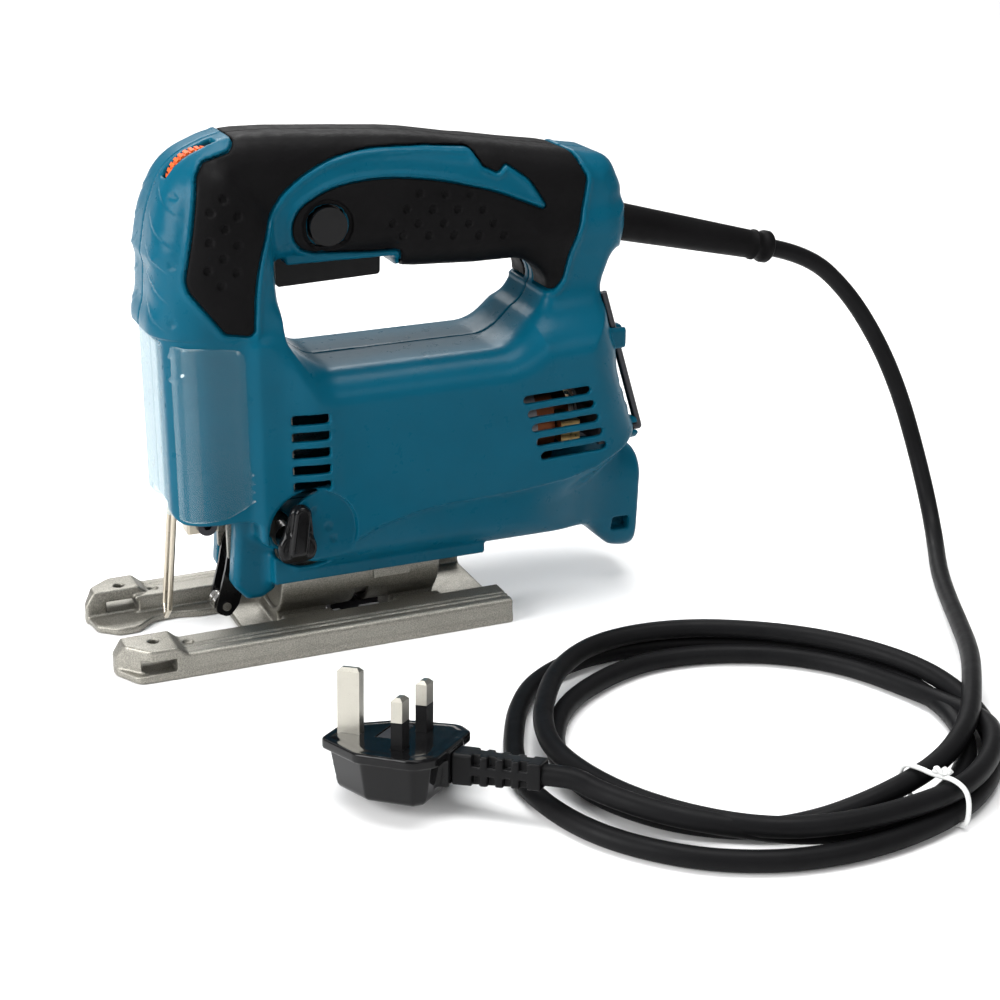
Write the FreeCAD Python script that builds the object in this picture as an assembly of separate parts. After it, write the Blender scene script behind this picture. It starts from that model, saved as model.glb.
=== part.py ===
"""Corded orbital jigsaw: one STEP file per sub-part, in millimetres.

+X runs from the blade to the cord, +Z is up, and the controls' side faces -Y. The origin is at the
middle of the tool's footprint, on the surface that the sole rests on.
"""
import FreeCAD, Part
import math
import os

V = FreeCAD.Vector
X_DIR = V(1, 0, 0)
Y_DIR = V(0, 1, 0)
Z_DIR = V(0, 0, 1)

# ---- driving dimensions, mm ----
TOOL_LENGTH = 223.0
TOOL_HEIGHT = 197.0
SOLE_WIDTH = 77.0
FRONT_X = -TOOL_LENGTH / 2
REAR_X = TOOL_LENGTH / 2

SOLE_REAR_X = 46.5
SOLE_PLATE = 3.0
RAIL_TOP = 10.0
RAIL_INNER_Y = 21.5
BLOCK_TOP = 13.0
BLOCK_REAR_X = -90.0
POCKET_X = (-103.5, -90.5)  # the recess in the near end block's side
POCKET_Z = (3.4, 11.4)
POCKET_DEPTH = 3.5
SLOT_REAR_X = -57.0
SLOT_FAR_Y = 14.5
TILT_Z = 26.0            # bevel axis height, along X through Y = 0
TROUGH_R = 18.6
TROUGH_WALL = 2.4
TROUGH_OUTER_R = TROUGH_R + TROUGH_WALL
TROUGH_X = (-43.5, 22.0)
SADDLE_GAP = 0.4
SWING_R = 24.4           # the sole stays outside this radius, so that the shell clears it as it tilts
CLAMP_X = (-20.0, 0.0)
BOLT_R = 2.5
FENCE_HOLE_R = 2.0

LEG_HALF = 17.0          # half width of the leg in front of the sole's trough
ARM_SLOT_HALF = 8.6      # half width of the slot that the roller arm swings in
TUNNEL_R = TROUGH_R + TROUGH_WALL + 1.2
TUNNEL_X = (TROUGH_X[0] - 1.5, TROUGH_X[1] + 1.5)
PORT_HALF = 16.0         # the dust port's half width, height and length
PORT_Z = (14.0, 54.0)
PORT_X = (84.0, REAR_X)
BIG = 300.0              # larger than the tool, for cutting bodies in two
WALL = 2.5               # shell thickness
COLUMN_HALF = 27.0       # half widths of the shell's regions
MOTOR_HALF = 33.0
HANDLE_HALF = 20.5
SKIRT_HALF = 23.6
SKIRT_Z = 22.0
V_START_Z = 30.1         # where the shell's underside starts to slope out at 45 degrees
PANEL = 1.2              # depth of the rubber panels in the shell's sides

MOTOR_Z = 73.0
SHAFT_R = 4.0
ROTOR_R = 15.0
STATOR_R = 24.5
AIR_GAP = 0.5
CORE_X = (27.0, 63.0)
FAN_R = 21.3
BEARING_R = 11.0
REAR_BEARING_R = 9.5
REAR_BEARING_X = (87.0, 94.0)

MODULE = 0.75
PINION_TEETH = 7
GEAR_TEETH = 56
GEAR_X = (-57.0, -50.0)
PINION_X = (-58.0, -46.0)
CRANK_R = 9.0            # half of the 18 mm stroke
CRANK_LIFT = 6.5         # how far the crank pin stands above the gear's centre at rest
GEAR_Z = MOTOR_Z + MODULE * (PINION_TEETH + GEAR_TEETH) / 2
GEAR_BORE_R = 4.0
CRANK_PIN_R = 2.0
HOUSING_BACK_X = (-44.0, -37.5)

ROD_X = -69.5
ROD_R = 4.0
ROD_Z = (54.0, 150.0)
CLAMP_Z = (43.5, 54.0)
BUSH_R = 5.3
LOWER_BUSH_Z = (60.5, 72.0)
UPPER_BUSH_Z = (128.0, 137.0)
CLAMP_SCREW = V(-68.6, 0, 47.6)
RUN_GAP = 0.05           # running clearance of rods, pins and bearings

ROLLER_X = -62.0
ROLLER_Z = 11.8
ROLLER_R = 4.6
ARM_PIVOT = (-55.0, 38.0)
WIRE_R = 1.1
WIRE_HALF = 3.5

COVER_Z = (57.0, 126.0)
COVER_HALF = 29.3
COVER_THICK = 1.7
COVER_FRONT_X = -85.6
COVER_REAR_X = -52.0

LEVER_HUB = (-41.0, 44.0)
LEVER_FACE_Y = -37.5
LEVER_REST = -8.0        # degrees that the lever leans at its first position
LOCK_AT = (-20.5, 163.5)
LOCK_R = 7.2
DIAL_AT = (-63.5, 180.5)
DIAL_R = 13.0
DIAL_Y = (-9.5, -4.5)

GUARD_START = V(97.0, 0, 152.3)
GUARD_END = V(178.0, 0, 132.2)
GUARD_R = (7.9, 5.6)

CORD_D = 7.3
CORD_R = CORD_D / 2
COIL_AT = (80.0, -164.0)
COIL_R = (64.5, 93.0)
COIL_HEIGHT = 2 * CORD_D
TIE_ANGLE = -66.0        # where the tie holds the coil, degrees about its centre
CORD_ROUTE = [           # from the guard's tip to the coil, chosen by hand
    (GUARD_END.x, GUARD_END.y, GUARD_END.z),
    (197.4, 0.0, 127.4),
    (217.0, -1.5, 110.0),
    (232.0, -5.0, 87.0),
    (241.5, -10.0, 64.0),
    (247.0, -17.0, 40.0),
    (248.0, -28.0, 19.0),
    (241.0, -46.0, 6.5),
    (228.0, -68.0, 4.2),
    (214.0, -92.0, 3.9),
    (199.5, -118.0, 6.8),
    (184.0, -142.0, 11.0),
    (170.0, -160.0, 12.2),
]
KEY_R = 1.6
KEY_TOP = V(93.0, -19, 126.3)
KEY_BEND = V(109.9, -19, 68.8)
KEY_CLIP_Z = (103.0, 112.0)
SCREW_R = 1.8
BOSS_R = 3.9
SCREW_HEAD_R = 3.4
PLUG_AT = V(-40.4, -156.8, 21.3)
PLUG_TURN = -42.0        # degrees about Z from +X to the plug's cord side
PLUG_TILT = 10.0         # degrees that the plug rolls about its own length
PLUG_LIFT = 3.0          # degrees that its cord side is raised
PIN_GAP = 22.2           # line of live and neutral to earth, and live to neutral
RELIEF_X = (14.5, 46.0)  # the plug's moulded strain relief, from the pins' midpoint
RELIEF_DROP = 7.0        # its centre line under the pin face
PLUG_DEPTH = 17.8
SLEEVE = 9.5
PINS = [                 # x, y, length and half thicknesses of earth, live and neutral
    (-PIN_GAP, 0.0, 22.7, 4.0, 2.0),
    (0.0, -PIN_GAP / 2, 17.7, 2.0, 3.2),
    (0.0, PIN_GAP / 2, 17.7, 2.0, 3.2),
]


# ---- shapes ----
def box(x, y, z):
    """A box between pairs of coordinates."""
    return Part.makeBox(x[1] - x[0], y[1] - y[0], z[1] - z[0], V(x[0], y[0], z[0]))


def rod(start, direction, radius, length):
    return Part.makeCylinder(radius, length, start, direction)


def tube(start, direction, outer, inner, length):
    return rod(start, direction, outer, length).cut(rod(start, direction, inner, length))


def rounded_wire(corners, place):
    """A closed wire through corners (a, b, radius), each rounded by a tangent arc; place maps (a, b)."""
    count = len(corners)
    joints = []
    for i, (a, b, radius) in enumerate(corners):
        here = V(a, b, 0)
        before = (V(*corners[i - 1][:2], 0) - here).normalize()
        after = (V(*corners[(i + 1) % count][:2], 0) - here).normalize()
        if radius == 0:
            joints.append((here, here, here))
            continue
        half = before.getAngle(after) / 2
        reach = radius / math.tan(half)
        centre = here + (before + after).normalize() * (radius / math.sin(half))
        middle = centre + (here - centre).normalize() * radius
        joints.append((here + before * reach, middle, here + after * reach))
    edges = []
    for i, (start, middle, end) in enumerate(joints):
        last = joints[i - 1][2]
        if last.distanceToPoint(start) > 1e-6:
            edges.append(Part.LineSegment(place(last), place(start)).toShape())
        if start.distanceToPoint(end) > 1e-6:
            edges.append(Part.Arc(place(start), place(middle), place(end)).toShape())
    return Part.Wire(edges)


def side_plate(corners, y):
    """Side outline (x, z, radius) extruded between two Y planes."""
    wire = rounded_wire(corners, lambda p: V(p.x, y[0], p.y))
    return Part.Face(wire).extrude(V(0, y[1] - y[0], 0))


def plan_plate(corners, z):
    """Plan outline (x, y, radius) extruded between two heights."""
    wire = rounded_wire(corners, lambda p: V(p.x, p.y, z[0]))
    return Part.Face(wire).extrude(V(0, 0, z[1] - z[0]))


def end_plate(corners, x):
    """End outline (y, z, radius) extruded between two X planes."""
    wire = rounded_wire(corners, lambda p: V(x[0], p.x, p.y))
    return Part.Face(wire).extrude(V(x[1] - x[0], 0, 0))


def on_face(edge, y):
    return all(abs(v.Point.y - y) < 1e-6 for v in edge.Vertexes)


def soften(solid, half, radius):
    """Rounds the edges around the two side faces at Y = -half and +half."""
    rims = [e for e in solid.Edges if on_face(e, half) or on_face(e, -half)]
    return solid.makeFillet(radius, rims)


def joined(shapes):
    return shapes[0].multiFuse(shapes[1:]).removeSplitter()


def save(name, shape):
    shape.exportStep("parts/%s.step" % name)
    box_ = shape.BoundBox
    print("%-20s solids %d volume %.0f valid %s  x %.1f %.1f y %.1f %.1f z %.1f %.1f" % (
        name, len(shape.Solids), shape.Volume, shape.isValid(), box_.XMin, box_.XMax, box_.YMin,
        box_.YMax, box_.ZMin, box_.ZMax))


# ---- shell ----
COLUMN = [
    (-78, 57, 3), (-60, 57, 0), (-36, 57, 0), (-36, 128, 20), (-46, 168, 20), (-62, 186, 10), (-78, 184, 8),
    (-82.5, 170, 40), (-87, 146, 60), (-87, 127.5, 2), (-78, 127.5, 2),
]
HANDLE = [
    (-57, TOOL_HEIGHT, 30), (-75, 189, 22), (-82.5, 170, 30), (-85, 156, 0), (-60, 150, 0), (-36, 151, 0),
    (4, 151, 1), (9, 144, 4), (40, 142.5, 30), (68, 142.5, 0),
    (104, 142.5, 0), (102.4, 174, 12), (60, 185.5, 80), (15, 193.3, 160), (-36, 196.6, 60),
]
REAR_COLUMN = [
    (62, 156, 0), (62, 143, 6), (70.5, 134, 9), (66, 121, 14), (50, 104, 0), (94, 104, 0), (94, 118, 40),
    (102.4, 152, 4), (102.4, 156, 0),
]
MOTOR = [
    (-40, V_START_Z, 0), (84, V_START_Z, 12), (101, 42, 10), (107.4, 70, 9), (100, 91, 30), (94, 109, 20),
    (92, 117, 0), (62, 117, 0), (52, 109.6, 20), (-16, 109, 16), (-40, 125, 0),
]
LEG = [
    (-60, 60, 0), (-59.6, 45, 8), (-61.5, 24, 4), (-56, 17.5, 3), (-50, 17.5, 3), (-44, 21, 0), (-36, 60, 0),
]


def shell_region(outline, half, radius, inset):
    """One region of the shell: its outer form at inset 0, or the cavity inside at inset WALL."""
    if inset == 0:
        return soften(side_plate(outline, (-half, half)), half, radius)
    face = Part.Face(rounded_wire(outline, lambda p: V(p.x, 0, p.y)))
    inner = face.makeOffset2D(-inset)
    depth = half - inset
    inner.translate(V(0, -depth, 0))
    return inner.extrude(V(0, 2 * depth, 0))


def underside_slopes():
    """Two wedges that bevel the motor housing's lower sides at 45 degrees, so that the sole can tilt."""
    rise = MOTOR_HALF - SKIRT_HALF
    wedge = [(SKIRT_HALF, V_START_Z - 20, 0), (MOTOR_HALF + 20, V_START_Z - 20, 0),
             (MOTOR_HALF + 20, V_START_Z + rise + 20, 0), (SKIRT_HALF, V_START_Z, 0)]
    right = end_plate(wedge, (-BIG / 2, BIG / 2))
    return [right, right.mirror(V(0, 0, 0), Y_DIR)]


def port_form(inset):
    half = PORT_HALF - inset
    radius = 11.0 - inset
    corners = [(-half, PORT_Z[0] + inset, radius), (half, PORT_Z[0] + inset, radius),
               (half, PORT_Z[1] - inset, radius), (-half, PORT_Z[1] - inset, radius)]
    return end_plate(corners, PORT_X)


def shell_form(inset):
    """The whole shell, solid at inset 0, or its cavity at inset WALL."""
    regions = [
        shell_region(COLUMN, COLUMN_HALF, 7.0, inset),
        shell_region(HANDLE, HANDLE_HALF, 8.0, inset),
        shell_region(REAR_COLUMN, HANDLE_HALF, 3.0, inset),
        shell_region(MOTOR, MOTOR_HALF, 8.0, inset).cut(underside_slopes()),
    ]
    if inset:
        bevel = [w.translated(V(0, 0, inset * 1.4)) for w in underside_slopes()]
        regions[3] = regions[3].cut(bevel)
        passage = box((-45, -30), (-COLUMN_HALF + inset, COLUMN_HALF - inset), (60, 106))
        return joined(regions + [passage])
    skirt = box((-47, 40.5), (-SKIRT_HALF, SKIRT_HALF), (SKIRT_Z, V_START_Z + 1))
    leg = soften(side_plate(LEG, (-LEG_HALF, LEG_HALF)), LEG_HALF, 3.0)
    return joined(regions + [skirt, leg])


def shell_bosses():
    """Screw bosses through both halves: place (x, z) and the half width of the shell there."""
    return [(-79.0, 150.0, COLUMN_HALF), (-30.0, 187.5, HANDLE_HALF), (58.0, 176.0, HANDLE_HALF),
            (86.0, 120.0, HANDLE_HALF), (-2.0, 103.0, MOTOR_HALF), (99.0, 66.0, MOTOR_HALF),
            (78.0, 46.0, MOTOR_HALF)]


def shell_screw(x, z, half):
    """A pan-head screw driven from the +Y side, with its head 1.5 mm under the surface."""
    head_top = half - 1.5
    shank = rod(V(x, head_top, z), -Y_DIR, SCREW_R, half + 8)
    head = rod(V(x, head_top, z), -Y_DIR, SCREW_HEAD_R, 2.2)
    return shank.fuse(head)


def shell_openings():
    """Everything that goes through the shell's wall."""
    cuts = []
    for row in range(5):
        front = MOTOR_Z + 20.5 - 6.6 * row
        rear = MOTOR_Z + 17.3 - 6.0 * row
        for side in (-1, 1):
            y = (side * MOTOR_HALF - 5, side * MOTOR_HALF + 5)
            cuts.append(box((-40.3, -26.0), y, (front - 1.9, front + 1.9)))
            slot = box((0, 28.5), y, (-1.5, 1.5))
            slot.rotate(V(0, 0, 0), Y_DIR, -2.0)
            cuts.append(slot.translated(V(53.2 + 1.9 * row, 0, rear)))
    for row in range(4):
        cuts.append(box((95, 112), (-24, -15), (MOTOR_Z - 5 + 6.2 * row, MOTOR_Z - 2.2 + 6.2 * row)))
        cuts.append(box((95, 112), (15, 24), (MOTOR_Z - 5 + 6.2 * row, MOTOR_Z - 2.2 + 6.2 * row)))
    guard_axis = (GUARD_END - GUARD_START).normalize()
    cuts.append(rod(GUARD_START - guard_axis * 6, guard_axis, GUARD_R[0] + 0.1, 40))
    cuts.append(box((-38.2, 4.6), (-9.2, 9.2), (135, 156)))
    cuts.append(rod(V(LOCK_AT[0], 0, LOCK_AT[1]), -Y_DIR, LOCK_R + 0.2, 30))
    cuts.append(box((-86, -56), (DIAL_Y[0] - 0.4, DIAL_Y[1] + 0.4), (DIAL_AT[1] - 14.5, DIAL_AT[1] + 14.5)))
    cuts.append(box((-85, -41), (-12.3, 12.3), (52, 61)))
    cuts.append(box((-72, -45), (-ARM_SLOT_HALF, ARM_SLOT_HALF), (10, 58)))
    cuts.append(rod(V(LEVER_HUB[0], 0, LEVER_HUB[1]), -Y_DIR, 5.2, 40))
    cuts.append(rod(V(-33.5, -MOTOR_HALF + 2.2, 48), -Y_DIR, 17.5, 10))
    room = KEY_R + 0.15
    cuts.append(rod(KEY_BEND - V(12, 0, 0), X_DIR, room, 20))
    sweep = [(KEY_TOP.x - room - 1.2, KEY_TOP.z + 4, 0), (KEY_BEND.x - room - 0.3, KEY_BEND.z - room, 0),
             (KEY_BEND.x + 30, KEY_BEND.z - room, 0), (KEY_BEND.x + 30, KEY_TOP.z + 4, 0)]
    cuts.append(side_plate(sweep, (KEY_TOP.y - room, KEY_TOP.y + room)))
    return cuts


def build_shell():
    outer = shell_form(0)
    tunnel = rod(V(TUNNEL_X[0], 0, TILT_Z), X_DIR, TUNNEL_R, TUNNEL_X[1] - TUNNEL_X[0])
    tunnel_wall = rod(V(TUNNEL_X[0] - WALL, 0, TILT_Z), X_DIR, TUNNEL_R + WALL,
                      TUNNEL_X[1] - TUNNEL_X[0] + 2 * WALL)
    skirt_void = box((TUNNEL_X[1] - 1, 38), (-SKIRT_HALF + 2, SKIRT_HALF - 2), (SKIRT_Z - 1, V_START_Z))
    cavity = shell_form(WALL).cut([tunnel_wall])
    bosses = []
    for x, z, half in shell_bosses():
        bosses.append(rod(V(x, -half + 1, z), Y_DIR, BOSS_R, 2 * half - 2).common(outer))
    holes = []
    for x, z, half in shell_bosses():
        holes.append(rod(V(x, half - 1.5, z), -Y_DIR, SCREW_R + 0.05, half + 8.2))
        holes.append(rod(V(x, half + 1, z), -Y_DIR, SCREW_HEAD_R + 0.3, 4.9))
    duct = port_form(0).cut(port_form(WALL).translated(V(0.01, 0, 0)))
    shell = outer.cut(cavity).multiFuse(bosses + [duct, key_mounts()])
    port_bore = port_form(WALL).translated(V(6, 0, 0))
    shell = shell.cut([tunnel, skirt_void, port_bore] + holes + shell_openings())
    lock_hole = rod(V(LOCK_AT[0], 0, LOCK_AT[1]), -Y_DIR, LOCK_R + 0.2, 30)
    shell = shell.cut(build_grips(outer.cut(lock_hole)))
    near = box((-BIG, BIG), (-BIG, 0), (-BIG, BIG))
    left = shell.common(near)
    right = shell.cut(near)
    save("housing_left", left)
    save("housing_right", right)
    screws = [shell_screw(*spot) for spot in shell_bosses()]
    save("housing_screws", Part.Compound(screws))


def key_mounts():
    """The clip that holds the hex key's long leg and the boss that takes its short one."""
    clip = box((90.0, KEY_TOP.x + 9.5), (KEY_TOP.y - 3, KEY_TOP.y + 5), KEY_CLIP_Z)
    boss = rod(V(100.0, KEY_BEND.y, KEY_BEND.z), X_DIR, 4.3, 8.2)
    return clip.fuse(boss)


def build_grips(outer):
    """The rubber panels let into the shell's sides; returns them to be cut from the shell."""
    upper = [(-74, 184, 9), (-76, 143, 6), (-61, 128, 5), (-50.5, 128, 2), (-49, 150, 20), (-38, 176, 16),
             (-6, 185, 30), (38, 181, 20), (60, 170, 10), (73, 146, 4), (78, 130, 4), (84, 130, 4),
             (93, 162, 3), (92, 171, 3), (40, 183.5, 60), (-40, 192.5, 30)]
    lower = [(-34, 168, 9), (-30, 154, 5), (4, 154, 2), (12, 147.5, 5), (62, 146.5, 6), (60, 158, 4),
             (28, 170, 30), (-14, 175, 14)]
    thin = [shell_region(COLUMN, COLUMN_HALF - PANEL, 7.0, 0), shell_region(HANDLE, HANDLE_HALF - PANEL, 7.5, 0),
            shell_region(REAR_COLUMN, HANDLE_HALF - PANEL, 3.0, 0)]
    core = joined(thin)
    made = []
    for side, label in ((-1, "left"), (1, "right")):
        y = (-BIG, -5) if side < 0 else (5, BIG)
        for name, outline in (("grip_upper_", upper), ("grip_lower_", lower)):
            grip = side_plate(outline, y).common(outer).cut(core)
            save(name + label, grip)
            made.append(grip)
    return made


# ---- gear train and motor ----
def gear_blank(teeth, outline, x):
    """A spur gear about the X axis through the origin; outline is one tooth as (radius, angle) pairs."""
    points = []
    for tooth in range(teeth):
        turn = 2 * math.pi * tooth / teeth
        points += [V(x[0], r * math.sin(turn + a), r * math.cos(turn + a)) for r, a in outline]
    points.append(points[0])
    return Part.Face(Part.makePolygon(points)).extrude(V(x[1] - x[0], 0, 0))


def tooth_outline(teeth, thinning):
    """A straight-sided tooth: root, pitch and tip points on both flanks."""
    pitch_r = MODULE * teeth / 2
    step = 2 * math.pi / teeth
    half = step / 4 * thinning
    root_r = pitch_r - 1.15 * MODULE
    tip_r = pitch_r + 0.85 * MODULE
    tip = half - 0.36 * 0.85 * MODULE / pitch_r
    root = min(half + 0.36 * 1.15 * MODULE / pitch_r, step * 0.45)
    return [(root_r, -root), (pitch_r, -half), (tip_r, -tip), (tip_r, tip), (pitch_r, half), (root_r, root)]


def build_gears():
    pinion = gear_blank(PINION_TEETH, tooth_outline(PINION_TEETH, 0.82), PINION_X)
    save("pinion", pinion.translated(V(0, 0, MOTOR_Z)))
    gear = gear_blank(GEAR_TEETH, tooth_outline(GEAR_TEETH, 0.82), GEAR_X)
    gear.rotate(V(0, 0, 0), X_DIR, 180.0 / GEAR_TEETH)
    hub = rod(V(GEAR_X[0] - 1.5, 0, 0), X_DIR, 8.0, GEAR_X[1] - GEAR_X[0] + 3.5)
    bore = rod(V(GEAR_X[0] - 5, 0, 0), X_DIR, GEAR_BORE_R + RUN_GAP, 30)
    throw = math.sqrt(CRANK_R ** 2 - CRANK_LIFT ** 2)
    pin_bore = rod(V(GEAR_X[0] - 5, throw, CRANK_LIFT), X_DIR, CRANK_PIN_R, 30)
    windows = [rod(V(GEAR_X[0] - 5, -13.5 * math.sin(a), 13.5 * math.cos(a)), X_DIR, 3.2, 30)
               for a in (math.radians(60 + 55 * k) for k in range(3))]
    gear = gear.fuse(hub).cut([bore, pin_bore] + windows)
    save("crank_gear", gear.translated(V(0, 0, GEAR_Z)))
    spindle = rod(V(GEAR_X[0] - 1.5, 0, GEAR_Z), X_DIR, GEAR_BORE_R, 20.0)
    save("gear_spindle", spindle)
    pin = rod(V(GEAR_X[0] - 4.5, throw, GEAR_Z + CRANK_LIFT), X_DIR, CRANK_PIN_R, 9.5)
    collar = tube(V(GEAR_X[0] - 4.0, throw, GEAR_Z + CRANK_LIFT), X_DIR, 3.4, CRANK_PIN_R, 2.4)
    save("crank_pin", pin)
    save("crank_roller", collar)


def build_gear_housing():
    """The cast housing that carries the gear spindle, the front bearing and the slider's bushes."""
    back = box(HOUSING_BACK_X, (-23, 23), (61.5, 105.5))
    rim = box((-58.5, HOUSING_BACK_X[0] + 1), (-23.9, 23.9), (GEAR_Z - 26, GEAR_Z + 23.9))
    lower = box((-75.3, -43), (-11, 11), (LOWER_BUSH_Z[0], LOWER_BUSH_Z[1]))
    upper = box((-75.3, -43), (-8, 8), (UPPER_BUSH_Z[0], UPPER_BUSH_Z[1]))
    gusset = box((-58.5, HOUSING_BACK_X[0] + 1.5), (-8, 8), (118, UPPER_BUSH_Z[1]))
    upper_back = box((HOUSING_BACK_X[0], HOUSING_BACK_X[0] + 2.8), (-20, 20), (100, 121))
    ears = [box((-61, -46), (y, y + 2.4), (ARM_PIVOT[1] - 5, LOWER_BUSH_Z[0] + 1)) for y in (6.0, -8.4)]
    body = joined([back, upper_back, rim, lower, upper, gusset] + ears)
    gear_room = rod(V(-60, 0, GEAR_Z), X_DIR, 22.4, 60 + HOUSING_BACK_X[0])
    pinion_room = rod(V(-60, 0, MOTOR_Z), X_DIR, 5.0, 60 + HOUSING_BACK_X[0])
    yoke_room = box((-67.5, -58.4), (-24, 24), (LOWER_BUSH_Z[1], UPPER_BUSH_Z[0]))
    bearing_seat = rod(V(-44.5, 0, MOTOR_Z), X_DIR, BEARING_R, 8)
    spindle_seat = rod(V(-50, 0, GEAR_Z), X_DIR, GEAR_BORE_R, 14)
    bush_seats = rod(V(ROD_X, 0, 50), Z_DIR, BUSH_R, 100)
    pivot = rod(V(ARM_PIVOT[0], -20, ARM_PIVOT[1]), Y_DIR, 2.0, 40)
    body = body.cut([gear_room, pinion_room, yoke_room, bearing_seat, spindle_seat, bush_seats, pivot])
    save("gear_housing", body)
    bushes = [tube(V(ROD_X, 0, span[0]), Z_DIR, BUSH_R, ROD_R + RUN_GAP, span[1] - span[0])
              for span in (LOWER_BUSH_Z, UPPER_BUSH_Z)]
    save("slider_bushes", Part.Compound(bushes))
    save("felt_seal", tube(V(ROD_X, 0, 57.5), Z_DIR, 7.5, ROD_R + 0.3, 2.8))


def build_slider():
    """The reciprocating rod with its cross slot, the blade clamp and the clamp screw."""
    shaft = rod(V(ROD_X, 0, ROD_Z[0]), Z_DIR, ROD_R, ROD_Z[1] - ROD_Z[0])
    middle = GEAR_Z + CRANK_LIFT
    yoke = box((ROD_X + 2, -61.8), (-14.5, 14.5), (middle - 7.5, middle + 7.5))
    slot = box((ROD_X + 4.6, -60), (-13.0, 13.0), (middle - 3.7, middle + 3.7))
    save("slider_rod", shaft.fuse(yoke).cut(slot))
    clamp = plan_plate([(-75.5, -4.5, 1), (-62.5, -4.5, 1), (-62.5, 4.5, 1), (-75.5, 4.5, 1)], CLAMP_Z)
    shank_slot = box((-73.5, -66.5), (-0.8, 0.8), (CLAMP_Z[0] - 1, CLAMP_Z[1] - 1.5))
    screw_hole = rod(V(CLAMP_SCREW.x, -5, CLAMP_SCREW.z), Y_DIR, 2.0, 4.2)
    save("blade_clamp", clamp.cut([shank_slot, screw_hole]))
    thread = rod(V(CLAMP_SCREW.x, -4.5, CLAMP_SCREW.z), Y_DIR, 2.0, 3.5)
    head = rod(V(CLAMP_SCREW.x, -8.6, CLAMP_SCREW.z), Y_DIR, 3.9, 4.1)
    socket = hexagon_bar(V(CLAMP_SCREW.x, -8.7, CLAMP_SCREW.z), Y_DIR, 3.0, 2.6)
    save("clamp_screw", thread.fuse(head).cut(socket))


def hexagon_bar(start, direction, across_flats, length):
    """A hexagonal bar along X or Y."""
    radius = across_flats / math.sqrt(3)
    side = Z_DIR
    other = direction.cross(side)
    turns = [math.radians(60 * k + 30) for k in range(7)]
    points = [start + side * (radius * math.cos(t)) + other * (radius * math.sin(t)) for t in turns]
    return Part.Face(Part.makePolygon(points)).extrude(direction * length)


def build_motor():
    shaft = rod(V(PINION_X[1], 0, MOTOR_Z), X_DIR, SHAFT_R, REAR_BEARING_X[1] + 1 - PINION_X[1])
    save("armature_shaft", shaft)
    core = tube(V(CORE_X[0], 0, MOTOR_Z), X_DIR, ROTOR_R, SHAFT_R, CORE_X[1] - CORE_X[0])
    slots = []
    for k in range(12):
        slot = box((CORE_X[0] - 1, CORE_X[1] + 1), (-1.3, 1.3), (ROTOR_R - 5, ROTOR_R - 0.8))
        slot.rotate(V(0, 0, 0), X_DIR, 30 * k)
        slots.append(slot.translated(V(0, 0, MOTOR_Z)))
    save("rotor_core", core.cut(slots))
    ends = [tube(V(x, 0, MOTOR_Z), X_DIR, ROTOR_R - 2, SHAFT_R, 6.0) for x in (CORE_X[0] - 6, CORE_X[1])]
    save("rotor_winding", Part.Compound(ends))
    bars = []
    for k in range(24):
        bar = box((70, 82), (-0.25, 0.25), (9.0, 11))
        bar.rotate(V(0, 0, 0), X_DIR, 15 * k)
        bars.append(bar.translated(V(0, 0, MOTOR_Z)))
    save("commutator", tube(V(69, 0, MOTOR_Z), X_DIR, 10.0, SHAFT_R, 14).cut(bars))
    save("fan", build_fan())
    save("stator_core", build_stator())
    coils = []
    for x in (CORE_X[0] - 8.5, CORE_X[1] + 0.5):
        ring = tube(V(x, 0, MOTOR_Z), X_DIR, STATOR_R - 2.5, ROTOR_R + 1.4, 8.0)
        coils.append(ring)
    save("field_coils", Part.Compound(coils))
    for name, x, outer in (("front_bearing", HOUSING_BACK_X[0], BEARING_R),
                           ("rear_bearing", REAR_BEARING_X[0], REAR_BEARING_R)):
        races = [tube(V(x, 0, MOTOR_Z), X_DIR, outer, outer - 2.2, 6.5),
                 tube(V(x, 0, MOTOR_Z), X_DIR, SHAFT_R + 2.0, SHAFT_R + RUN_GAP, 6.5)]
        middle = (outer - 2.2 + SHAFT_R + 2.0) / 2
        ball = (outer - 2.2 - SHAFT_R - 2.0) / 2
        for k in range(7):
            turn = 2 * math.pi * k / 7
            centre = V(x + 3.25, middle * math.sin(turn), MOTOR_Z + middle * math.cos(turn))
            races.append(Part.makeSphere(ball, centre))
        save(name, Part.Compound(races))
    holder = tube(V(REAR_BEARING_X[0], 0, MOTOR_Z), X_DIR, REAR_BEARING_R + 2.5, REAR_BEARING_R, 7.0)
    plate = box((REAR_BEARING_X[0], REAR_BEARING_X[0] + 3), (-30.3, 30.3), (MOTOR_Z - 6, MOTOR_Z + 6))
    seat = rod(V(REAR_BEARING_X[0] - 1, 0, MOTOR_Z), X_DIR, REAR_BEARING_R + 1, 9)
    save("bearing_bracket", holder.fuse(plate.cut(seat)))


def build_fan():
    """A backing disc with radial blades on its motor side."""
    disc = rod(V(-8, 0, MOTOR_Z), X_DIR, FAN_R, 1.8)
    hub = rod(V(-8, 0, MOTOR_Z), X_DIR, 7.0, 11.0)
    blades = []
    for k in range(9):
        blade = box((-6.5, 3), (-0.7, 0.7), (6.0, FAN_R - 0.5))
        blade.rotate(V(0, 0, 0), X_DIR, 40 * k)
        blades.append(blade.translated(V(0, 0, MOTOR_Z)))
    bore = rod(V(-10, 0, MOTOR_Z), X_DIR, SHAFT_R, 20)
    return joined([disc, hub] + blades).cut(bore)


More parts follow.
